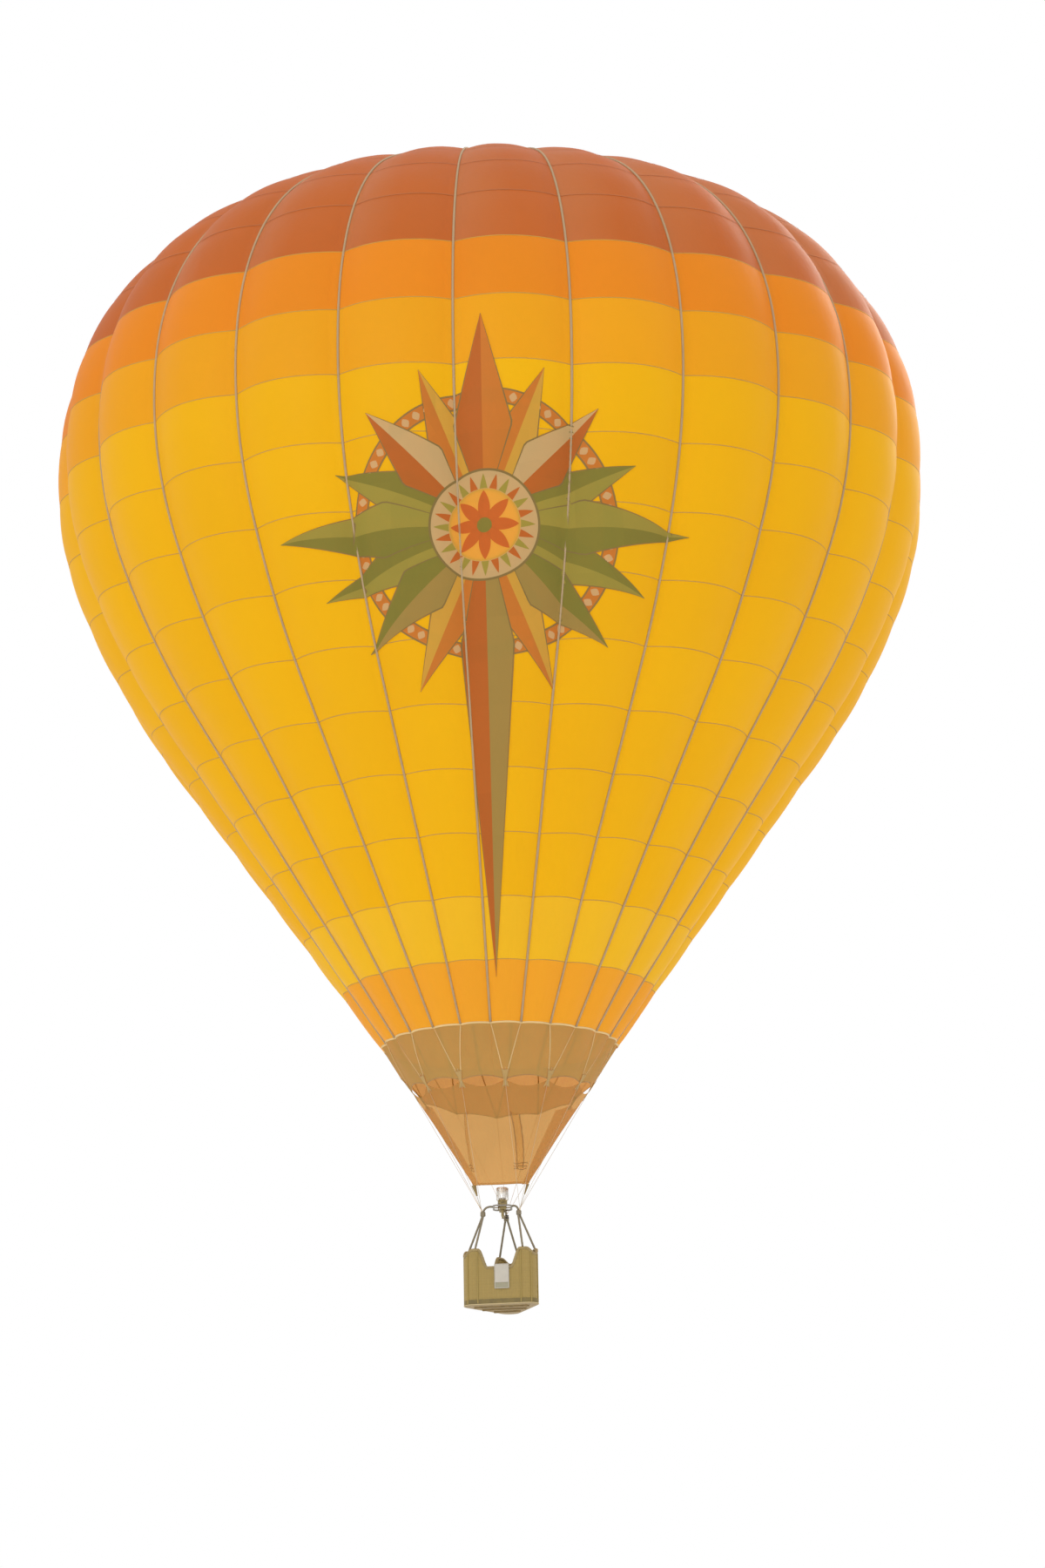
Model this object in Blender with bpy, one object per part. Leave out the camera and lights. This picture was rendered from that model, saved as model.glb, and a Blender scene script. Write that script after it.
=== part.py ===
"""Hot air balloon, in metres, +Z up.

A gored envelope of horizontal cloth bands closed by a parachute vent, a scoop under its mouth, flying wires,
a burner frame with a tilting twin burner, padded uprights and a three-cornered wicker basket.

Heights in this file are above the ground that the basket's runners would stand on. The whole balloon hangs
from one empty, which brings the envelope's centre of lift to the origin. Azimuths are in degrees about the
balloon's axis, from -Y towards +X.
"""

import math

import bmesh
import bpy
from mathutils import Vector

GAP = 0.0003
FLAT = 1e-6
LIFT_HEIGHT = 17.7

GORES = 24
STEPS_PER_GORE = 4
TAPE_AZIMUTH = -4.5
CLOTH = 0.010
SWELL_PER_GORE_WIDTH = 0.13
ROW = 1.494

MOUTH_RADIUS = 1.80
MOUTH_HEIGHT = 4.76
CONE_LEAN = 35.5
CONE_SLANT = 9.95
# The envelope's side above the cone. Columns: lean from the vertical where the arc ends, radius of the arc.
SIDE_ARCS = ((22.0, 16.3), (-6.6, 8.4), (-61.0, 6.0), (-90.0, 10.8))

TERRACOTTA = (0.537, 0.147, 0.045)
ORANGE = (0.807, 0.276, 0.019)
AMBER = (0.855, 0.386, 0.021)
YELLOW = (0.888, 0.455, 0.001)
KHAKI = (0.479, 0.260, 0.083)
# Columns: node, lowest row seam, highest row seam, rings of facets, colour.
CLOTH_BANDS = (
    ("lower_orange_band", 1, 2, 1, ORANGE),
    ("lower_amber_band", 2, 3, 1, AMBER),
    ("yellow_band_1", 3, 5, 1, YELLOW),
    ("yellow_band_2", 5, 7, 1, YELLOW),
    ("yellow_band_3", 7, 9, 2, YELLOW),
    ("yellow_band_4", 9, 11, 4, YELLOW),
    ("upper_amber_band", 11, 12, 2, AMBER),
    ("upper_orange_band", 12, 13, 2, ORANGE),
)
CROWN_FROM_ROW = 13
CROWN_RINGS = 7
# The throat's hem lies this far up the side: in front (and as far down behind), at the sides, between two wires.
MOUTH_TILT = 0.09
MOUTH_RISE = 0.20
MOUTH_ARCH = 0.10
# A hem tape holds the mouth this much wider than the cone would leave it.
MOUTH_SPREAD = 0.06

VENT_OPENING = 2.80
VENT_LAP = 0.25
SWELL_FADE = 1.5
CROWN_TAPE_WIDTH = 0.05
CROWN_TAPE = 0.004
CROWN_TAPE_GAP = 0.0006
CROWN_HUB = (0.13, 0.21)
CROWN_RIM = 0.12
CROWN_RING_SECTION = 0.012

BASKET_TURN = -10.0
CORNER_AZIMUTHS = {"left": BASKET_TURN - 60, "right": BASKET_TURN + 60, "back": BASKET_TURN + 180}
SIDE_AZIMUTHS = {"front": BASKET_TURN, "right": BASKET_TURN + 120, "left": BASKET_TURN - 120}

# Azimuths of the joins, midway between two tapes, that a flying wire leaves, under the corner that they run to.
WIRE_AZIMUTHS = {
    "left": (-117.0, -87.0, -57.0, -27.0),
    "right": (3.0, 33.0, 63.0, 93.0),
    "back": (123.0, 153.0, 183.0, 213.0),
}
WIRE_RADIUS = 0.004
WIRE_STAND_OFF = WIRE_RADIUS + GAP
WIRE_UP_JOIN = 0.30
KARABINER = (0.030, 0.075)
KARABINER_OUT = 0.032
SHOULDER_RADIUS = 0.47
SHOULDER_HEIGHT = 2.13

SCOOP_DIP = 0.13
SCOOP_EDGE_DIP = 0.03
SCOOP_TOP_INSET = 0.0015
SCOOP_HEM_INSET = 0.15
PANEL_SPLIT = 0.03
# Shares of the way from the mouth to the wires' ends at which the scoop has a row of points.
SCOOP_SHARES = (0.0, 0.20, 0.47, 0.76)
# Columns: node, first azimuth, last azimuth.
SCOOP_PANELS = (
    ("scoop_left", -124.5, -57.0),
    ("scoop_front", -57.0, 33.0),
    ("scoop_right", 33.0, 138.0),
)

RUNNER = (0.070, 0.040)
FLOOR = 0.025
WICKER = 0.035
CORNER_CENTRE = 0.70
CORNER_ROUND = 0.22
CORNER_FLAT = 0.12
CORNER_STEPS = 5
RIM_RADIUS = 0.035
RIM_HIGH = 1.31
RIM_LOW = 0.90
RIM_SLOPE = 0.17
RIM_DIP = 0.13
RIM_CLEARANCE = 1.25
SCUFF = (0.008, 0.10)

UPRIGHT_RADIUS = 0.021
UPRIGHT_SPREAD = 0.0235
TANK_RADIUS = 0.165
TANK_HEIGHT = 0.86

FRAME_TUBE = 0.020
FRAME_HALF = (0.20, 0.32)
FRAME_HEIGHT = 2.30
FRAME_CHAMFER = 0.06
ARM_RADIUS = 0.019
ARM_CREST = 0.03
ARM_STEPS = 6
SOCKET = (0.054, 0.075)
BLOCK_HALF = (0.075, 0.23)
PIVOT_RADIUS = 0.012
CAN_RADIUS = 0.125
CAN_WALL = 0.010
CAN_SPACING = 0.27
CAN_BOTTOM = 2.44
CAN_TOP = 2.72

BANNER = (0.33, 0.55)
BANNER_CLOTH = 0.004
BANNER_TOP = 0.94


def clear_scene():
    for thing in list(bpy.data.objects):
        bpy.data.objects.remove(thing, do_unlink=True)


def finish(name, colour, roughness, metallic=0.0):
    """A plain Principled material, made once for each name."""
    material = bpy.data.materials.get(name)
    if material is None:
        material = bpy.data.materials.new(name)
        material.use_nodes = True
        shader = material.node_tree.nodes["Principled BSDF"]
        shader.inputs["Base Color"].default_value = (*colour, 1.0)
        shader.inputs["Roughness"].default_value = roughness
        shader.inputs["Metallic"].default_value = metallic
    return material


def mesh_object(name, points, faces, material, helper=False):
    """One object of the balloon. A helper is only a tool for a Boolean."""
    mesh = bpy.data.meshes.new(name)
    mesh.from_pydata([tuple(point) for point in points], [], faces)
    shape = bmesh.new()
    shape.from_mesh(mesh)
    bmesh.ops.recalc_face_normals(shape, faces=shape.faces)
    warped = []
    for face in shape.faces:
        middle = face.calc_center_median()
        if any(abs((vert.co - middle).dot(face.normal)) > FLAT for vert in face.verts):
            warped.append(face)
    bmesh.ops.triangulate(shape, faces=warped)
    shape.to_mesh(mesh)
    shape.free()
    mesh.shade_smooth()
    mesh.set_sharp_from_angle(angle=math.radians(35))
    mesh.materials.append(material)
    thing = bpy.data.objects.new(name, mesh)
    bpy.context.scene.collection.objects.link(thing)
    thing.parent = bpy.data.objects["balloon"]
    if helper:
        thing.hide_render = True
        thing.display_type = "WIRE"
    return thing


def direction(azimuth):
    angle = math.radians(azimuth)
    return Vector((math.sin(angle), -math.cos(angle), 0.0))


def grid_faces(rows, columns, closed):
    """Quads between neighbouring rows of points, closed round the columns where it says so."""
    last = columns if closed else columns - 1
    faces = []
    for row in range(rows - 1):
        for column in range(last):
            beside = (column + 1) % columns
            low, high = row * columns, (row + 1) * columns
            faces.append((low + column, low + beside, high + beside, high + column))
    return faces


def thick_sheet(name, outer, inner, faces, material):
    """A closed body between an outer sheet and an inner one that have the same faces."""
    count = len(outer)
    sides = {}
    for face in faces:
        for start, end in zip(face, face[1:] + face[:1]):
            if sides.pop((end, start), None) is None:
                sides[start, end] = True
    walls = [(end, start, start + count, end + count) for start, end in sides]
    backs = [tuple(index + count for index in reversed(face)) for face in faces]
    return mesh_object(name, outer + inner, list(faces) + backs + walls, material)


def profile(slant):
    """Radius, height and lean (radians from the vertical) at a distance up the envelope's side."""
    lean = math.radians(CONE_LEAN)
    step = min(slant, CONE_SLANT)
    radius = MOUTH_RADIUS + step * math.sin(lean)
    height = MOUTH_HEIGHT + step * math.cos(lean)
    left = slant - step
    for end_lean, bend in SIDE_ARCS:
        turn = min(left / bend, lean - math.radians(end_lean))
        radius += bend * (math.cos(lean - turn) - math.cos(lean))
        height += bend * (math.sin(lean) - math.sin(lean - turn))
        lean -= turn
        left -= turn * bend
    return radius - left, height, lean


def slant_at_crown_radius(wanted):
    """How far up the side the crown narrows to a radius."""
    low, high = CROWN_FROM_ROW * ROW, CROWN_FROM_ROW * ROW + 12.0
    for _ in range(50):
        middle = (low + high) / 2
        if profile(middle)[0] > wanted:
            low = middle
        else:
            high = middle
    return low


def arch(azimuth, start, spacing):
    """1 in the middle between two neighbouring tapes or joins, 0 at each of them."""
    across = ((azimuth - start) % spacing) / spacing
    return 1 - (2 * across - 1) ** 2


def gore_arch(azimuth):
    return arch(azimuth, TAPE_AZIMUTH, 360 / GORES)


def join_arch(azimuth):
    return arch(azimuth, WIRE_AZIMUTHS["left"][0], 2 * 360 / GORES)


def cloth_point(slant, azimuth, inset):
    """A point of the gored side, below its outer face by an inset."""
    radius, height, lean = profile(slant)
    swell = SWELL_PER_GORE_WIDTH * (2 * math.pi * radius / GORES)
    if lean < 0:
        # Near the vent a rim tape holds the crown to a true circle.
        swell *= min(1.0, max(0.0, (radius - VENT_OPENING - VENT_LAP) / SWELL_FADE))
    radius -= swell * (1 - gore_arch(azimuth))
    radius -= inset * math.cos(lean)
    height += inset * math.sin(lean)
    return direction(azimuth) * radius + Vector((0, 0, height))


def gore_azimuths():
    return [TAPE_AZIMUTH + step * 360 / (GORES * STEPS_PER_GORE) for step in range(GORES * STEPS_PER_GORE)]


def hem_slant(azimuth):
    """How far up the side the throat's hem lies at a wire's join."""
    angle = math.radians(azimuth)
    return MOUTH_TILT * math.cos(angle) + MOUTH_RISE * math.sin(angle) ** 2


def mouth_point(slant, azimuth, inset):
    """A point of the throat's hem, which is round and has no gores."""
    radius, height, lean = profile(slant)
    radius += MOUTH_SPREAD - inset * math.cos(lean)
    return direction(azimuth) * radius + Vector((0, 0, height + inset * math.sin(lean)))


def cloth_ring(name, rows, colour):
    """A ring of cloth. Each row is a function of the azimuth and an inset."""
    azimuths = gore_azimuths()
    outer = [row(azimuth, 0.0) for row in rows for azimuth in azimuths]
    inner = [row(azimuth, CLOTH) for row in rows for azimuth in azimuths]
    faces = grid_faces(len(rows), len(azimuths), True)
    return thick_sheet(name, outer, inner, faces, finish(name, colour, 0.55))


def gored_row(slant):
    return lambda azimuth, inset: cloth_point(slant, azimuth, inset)


def hem_row(azimuth, inset):
    return mouth_point(hem_slant(azimuth) + MOUTH_ARCH * join_arch(azimuth), azimuth, inset)


def between(low, high, steps):
    return [low + (high - low) * step / steps for step in range(steps + 1)]


def build_envelope():
    cloth_ring("throat_panel", [hem_row, gored_row(ROW - GAP / 2)], KHAKI)
    for name, low, high, rings, colour in CLOTH_BANDS:
        slants = between(low * ROW + GAP / 2, high * ROW - GAP / 2, rings)
        cloth_ring(name, [gored_row(slant) for slant in slants], colour)
    slants = between(CROWN_FROM_ROW * ROW + GAP / 2, slant_at_crown_radius(VENT_OPENING + VENT_LAP), CROWN_RINGS)
    slants.append(slant_at_crown_radius(VENT_OPENING))
    cloth_ring("crown_panel", [gored_row(slant) for slant in slants], TERRACOTTA)


def build_parachute_vent():
    """A disc of cloth that the warm air presses up against the crown's inner face."""
    azimuths = gore_azimuths()
    outer, inner = [], []
    radii = (VENT_OPENING + VENT_LAP, VENT_OPENING, VENT_OPENING * 0.6)
    for radius in radii:
        slant = slant_at_crown_radius(radius)
        for azimuth in azimuths:
            outer.append(cloth_point(slant, azimuth, CLOTH + GAP))
            inner.append(cloth_point(slant, azimuth, 2 * CLOTH + GAP))
    faces = grid_faces(len(radii), len(azimuths), True)
    first = (len(radii) - 1) * len(azimuths)
    faces.append(tuple(range(first, first + len(azimuths))))
    thick_sheet("parachute_vent", outer, inner, faces, finish("parachute_vent", TERRACOTTA, 0.55))


def build_crown_tapes():
    """Webbing that crosses the vent opening from a rim tape to a hub, all one piece."""
    gore = 360 / GORES
    half = CROWN_TAPE_WIDTH / 2
    radii = (*CROWN_HUB, VENT_OPENING * 0.6, VENT_OPENING, VENT_OPENING + CROWN_RIM)
    outer, inner = [], []
    for radius in radii:
        slant = slant_at_crown_radius(radius)
        edge = math.degrees(math.asin(half / radius))
        for tape in range(GORES):
            for turn in (-edge, edge, gore / 3, gore * 2 / 3):
                # Next to the hub the tapes' edges would cross, so each keeps to its own gore.
                turn = max(-gore / 7, min(turn, gore / 7)) if abs(turn) == edge else turn
                azimuth = TAPE_AZIMUTH + tape * gore + turn
                outer.append(cloth_point(slant, azimuth, -CROWN_TAPE - CROWN_TAPE_GAP))
                inner.append(cloth_point(slant, azimuth, -CROWN_TAPE_GAP))
    columns = 4 * GORES
    spokes = (1, 2)
    faces = []
    for index, face in enumerate(grid_faces(len(radii), columns, True)):
        ring, column = divmod(index, columns)
        if ring not in spokes or column % 4 == 0:
            faces.append(face)
    thick_sheet("crown_tapes", outer, inner, faces, finish("crown_tapes", (0.42, 0.40, 0.36), 0.8))


def turned(name, outline, sides, centre, material, helper=False):
    """A body turned about a vertical axis. An outline point on the axis becomes one vertex."""
    points, rings = [], []
    for radius, height in outline:
        if radius == 0:
            rings.append([len(points)])
            points.append(centre + Vector((0, 0, height)))
            continue
        rings.append(list(range(len(points), len(points) + sides)))
        for side in range(sides):
            points.append(centre + direction(360 * side / sides) * radius + Vector((0, 0, height)))
    faces = []
    hollow = outline[0][0] > 0
    pairs = list(zip(rings, rings[1:])) + ([(rings[-1], rings[0])] if hollow else [])
    for low, high in pairs:
        for side in range(sides):
            beside = (side + 1) % sides
            face = [low[side % len(low)], low[beside % len(low)], high[beside % len(high)], high[side % len(high)]]
            faces.append(tuple(dict.fromkeys(face)))
    return mesh_object(name, points, faces, material, helper)


def build_crown_ring():
    """The metal ring that the crown tapes are sewn round lies on their hub."""
    hub_radius = sum(CROWN_HUB) / 2
    seat = profile(slant_at_crown_radius(hub_radius))[1] + CROWN_TAPE + CROWN_TAPE_GAP + GAP
    outline = []
    for corner in range(8):
        angle = math.radians(22.5 + 45 * corner)
        lift = CROWN_RING_SECTION * (math.cos(math.radians(22.5)) + math.sin(angle))
        outline.append((hub_radius + CROWN_RING_SECTION * math.cos(angle), seat + lift))
    turned("crown_ring", outline, 24, Vector(), finish("crown_ring", (0.62, 0.62, 0.62), 0.35, 1.0))


def tube_mesh(path, radius, sides, closed=False, level_ends=False):
    """Points and faces of a mitred tube. Level ends are cut horizontally."""
    path = [Vector(point) for point in path]
    count = len(path)
    links = count if closed else count - 1
    aims = [(path[(i + 1) % count] - path[i]).normalized() for i in range(links)]
    up = Vector((0, 0, 1)) if abs(aims[0].z) < 0.9 else Vector((1, 0, 0))
    side = aims[0].cross(up).normalized()
    corners = []
    for corner in range(sides):
        angle = 2 * math.pi * corner / sides
        corners.append(side * math.sin(angle) * radius - side.cross(aims[0]) * math.cos(angle) * radius)
    points = []
    for i, centre in enumerate(path):
        before = aims[i - 1] if closed or i > 0 else aims[0]
        after = aims[i % links] if closed or i < links else aims[-1]
        cut = (before + after).normalized()
        if level_ends and not closed and i in (0, count - 1):
            cut = Vector((0, 0, 1))
        # The corners ride along the run that leads here, or leaves here, and stop on the plane of the cut.
        run = before if i else after
        for corner in corners:
            points.append(centre + corner - run * (corner.dot(cut) / run.dot(cut)))
        corners = [point - centre for point in points[-sides:]]
        corners = [corner - after * (corner.dot(after)) for corner in corners]
    faces = grid_faces(count, sides, True)
    if closed:
        last = (count - 1) * sides
        for side in range(sides):
            beside = (side + 1) % sides
            faces.append((last + side, last + beside, beside, side))
    else:
        faces.append(tuple(range(sides)))
        faces.append(tuple(range((count - 1) * sides, count * sides)))
    return points, faces


def tube(name, path, radius, sides, material, helper=False, closed=False, level_ends=False):
    points, faces = tube_mesh(path, radius, sides, closed, level_ends)
    return mesh_object(name, points, faces, material, helper)


def box(name, low, high, material, helper=False):
    points = [(x, y, z) for z in (low[2], high[2]) for y in (low[1], high[1]) for x in (low[0], high[0])]
    faces = [(0, 1, 3, 2), (4, 5, 7, 6), (0, 1, 5, 4), (2, 3, 7, 6), (0, 2, 6, 4), (1, 3, 7, 5)]
    return mesh_object(name, points, faces, material, helper)


def join(base, helpers):
    """Fuse helpers to a base, so that they are one body."""
    for helper in helpers:
        union = base.modifiers.new(helper.name, "BOOLEAN")
        union.operation = "UNION"
        union.solver = "EXACT"
        union.object = helper


def shoulder(corner):
    return direction(CORNER_AZIMUTHS[corner]) * SHOULDER_RADIUS + Vector((0, 0, SHOULDER_HEIGHT))


def karabiner_foot(corner):
    outward = direction(CORNER_AZIMUTHS[corner]) * KARABINER_OUT
    return shoulder(corner) + outward + Vector((0, 0, SOCKET[1] / 2 + GAP))


def wire_end(corner):
    return karabiner_foot(corner) + Vector((0, 0, KARABINER[1] * 0.6))


def wire_corner(azimuth):
    """Where the skirt at an azimuth is drawn to: the end of its wires, or a place between two such ends."""
    stops = []
    for corner, azimuths in WIRE_AZIMUTHS.items():
        stops.append((azimuths[0], wire_end(corner)))
        stops.append((azimuths[-1], wire_end(corner)))
    stops.append((stops[0][0] + 360, stops[0][1]))
    azimuth = stops[0][0] + (azimuth - stops[0][0]) % 360
    for (start, here), (end, there) in zip(stops, stops[1:]):
        if start <= azimuth <= end:
            return here.lerp(there, (azimuth - start) / (end - start))
    return stops[0][1]


def scoop_point(azimuth, share, depth):
    """A point of the scoop, between the mouth (share 0) and the wires' ends (share 1). Its free edge on the right
    runs to the right corner, and its hem is drawn in from the wires."""
    end = wire_end("right") if azimuth > WIRE_AZIMUTHS["right"][-1] else wire_corner(azimuth)
    point = mouth_point(hem_slant(azimuth), azimuth, 0.0).lerp(end, share)
    inset = SCOOP_TOP_INSET + SCOOP_HEM_INSET * share / SCOOP_SHARES[-1] + depth
    return point - Vector((point.x, point.y, 0.0)).normalized() * inset


def scoop_dip(azimuth):
    """How far the scoop's top edge hangs between two wires, or between its free corner and the next wire."""
    for edge, wire in ((SCOOP_PANELS[0][1], WIRE_AZIMUTHS["left"][0]), (SCOOP_PANELS[-1][2], WIRE_AZIMUTHS["back"][0])):
        across = max((azimuth - edge) / (wire - edge), 0.0)
        if across < 1:
            return SCOOP_EDGE_DIP * (1 - (2 * across - 1) ** 2)
    return SCOOP_DIP * join_arch(azimuth)


def build_scoop():
    """Three panels of cloth just inside the wires, open behind."""
    step = 360 / (GORES * STEPS_PER_GORE)
    for name, first, last in SCOOP_PANELS:
        azimuths = between(first + PANEL_SPLIT, last - PANEL_SPLIT, round((last - first) / step))
        outer, inner = [], []
        for share in SCOOP_SHARES:
            for azimuth in azimuths:
                # The top edge tucks just inside the throat's slanting hem at each wire.
                lift = Vector((0, 0, 0.0 if share else GAP - scoop_dip(azimuth)))
                outer.append(scoop_point(azimuth, share, 0.0) + lift)
                inner.append(scoop_point(azimuth, share, CLOTH) + lift)
        faces = grid_faces(len(SCOOP_SHARES), len(azimuths), False)
        thick_sheet(name, outer, inner, faces, finish("scoop", KHAKI, 0.6))


def build_flying_wires():
    steel = finish("flying_wires", (0.45, 0.44, 0.42), 0.4, 1.0)
    for corner, azimuths in WIRE_AZIMUTHS.items():
        name = "flying_wires_" + corner
        wide, tall = KARABINER
        low = karabiner_foot(corner) - Vector((wide / 2, wide / 2, 0.0))
        karabiner = box(name, low, low + Vector((wide, wide, tall)), steel)
        wires = []
        for number, azimuth in enumerate(azimuths):
            hem = hem_slant(azimuth)
            foot = mouth_point(hem, azimuth, -WIRE_STAND_OFF)
            head = cloth_point(ROW - GAP / 2, azimuth, -WIRE_STAND_OFF)
            path = (foot.lerp(head, WIRE_UP_JOIN / (ROW - hem)), foot, wire_end(corner))
            wires.append(tube(f"{name}_run_{number}", path, WIRE_RADIUS, 6, steel, helper=True))
        join(karabiner, wires)


def basket_line(outset):
    """The basket's plan as runs between its flats: for each corner, the points round its arc."""
    corners = {}
    for corner, azimuth in CORNER_AZIMUTHS.items():
        centre = direction(azimuth) * CORNER_CENTRE
        angles = between(azimuth - 60, azimuth + 60, CORNER_STEPS)
        corners[corner] = [centre + direction(angle) * (CORNER_ROUND + outset) for angle in angles]
    return corners


def along(azimuth):
    """The way along a side that faces an azimuth, anticlockwise from above."""
    return direction(azimuth + 90)


def upright_sheet(name, outer_plan, inner_plan, heights, material):
    """A wall on a plan line. Each row of heights holds one value for each point of the line."""
    outer, inner = [], []
    for row in heights:
        for near, far, height in zip(outer_plan, inner_plan, row):
            outer.append(near + Vector((0, 0, height)))
            inner.append(far + Vector((0, 0, height)))
    faces = grid_faces(len(heights), len(outer_plan), False)
    return thick_sheet(name, outer, inner, faces, material)


def corner_run(corner, outset):
    """Plan points of a corner panel: its arc, and a short flat on each side."""
    arc = basket_line(outset)[corner]
    azimuth = CORNER_AZIMUTHS[corner]
    start = arc[0] - along(azimuth - 60) * CORNER_FLAT
    end = arc[-1] + along(azimuth + 60) * CORNER_FLAT
    return [start, *arc, end]


def corner_levels():
    """Height of the rim's top at each point of a corner's run, which dips between the flats that carry the poles."""
    dips = [RIM_DIP * (1 + math.cos(math.pi * turn / 60)) / 2 for turn in between(-60, 60, CORNER_STEPS)]
    return [RIM_HIGH, *(RIM_HIGH - dip for dip in dips), RIM_HIGH]


def under_rim(corner):
    """Heights of the wicker just below the rim of a corner. The steeper the rim, the further below its top."""
    run, levels = corner_run(corner, -WICKER / 2), corner_levels()
    slopes = [(high - low) / (b - a).length for a, b, low, high in zip(run, run[1:], levels, levels[1:])]
    heights = []
    for level, before, after in zip(levels, slopes[:1] + slopes, slopes + slopes[-1:]):
        # A sloping rim turns a little about its own line on the arc, so the wicker keeps clear of that too.
        steepest = max(abs(before), abs(after)) * RIM_CLEARANCE
        heights.append(level - RIM_RADIUS - (RIM_RADIUS + GAP) * math.hypot(1, steepest))
    return heights


def rim_line():
    """Half of a side's rim, from its corner panel to its middle, as (distance, height) of the roll's centre."""
    half = side_length() / 2
    high, low = RIM_HIGH - RIM_RADIUS, RIM_LOW - RIM_RADIUS
    return [(0.0, high), (0.03, high), (0.03 + RIM_SLOPE, low), (half, low)]


def side_length():
    return CORNER_CENTRE * math.sqrt(3) - 2 * CORNER_FLAT


def lowered(line, distance):
    """A line kept at a distance below another, both in the plane of a wall."""
    result = []
    runs = [Vector((b[0] - a[0], b[1] - a[1])).normalized() for a, b in zip(line, line[1:])]
    for i, point in enumerate(line):
        before, after = runs[max(i - 1, 0)], runs[min(i, len(runs) - 1)]
        below = Vector((before.y, -before.x)) + Vector((after.y, -after.x))
        below *= distance / (1 + before.dot(after))
        result.append((point[0] + below.x, point[1] + below.y))
    return result


def mirrored(line, length):
    return line + [(length - along_side, height) for along_side, height in reversed(line[:-1])]


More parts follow.
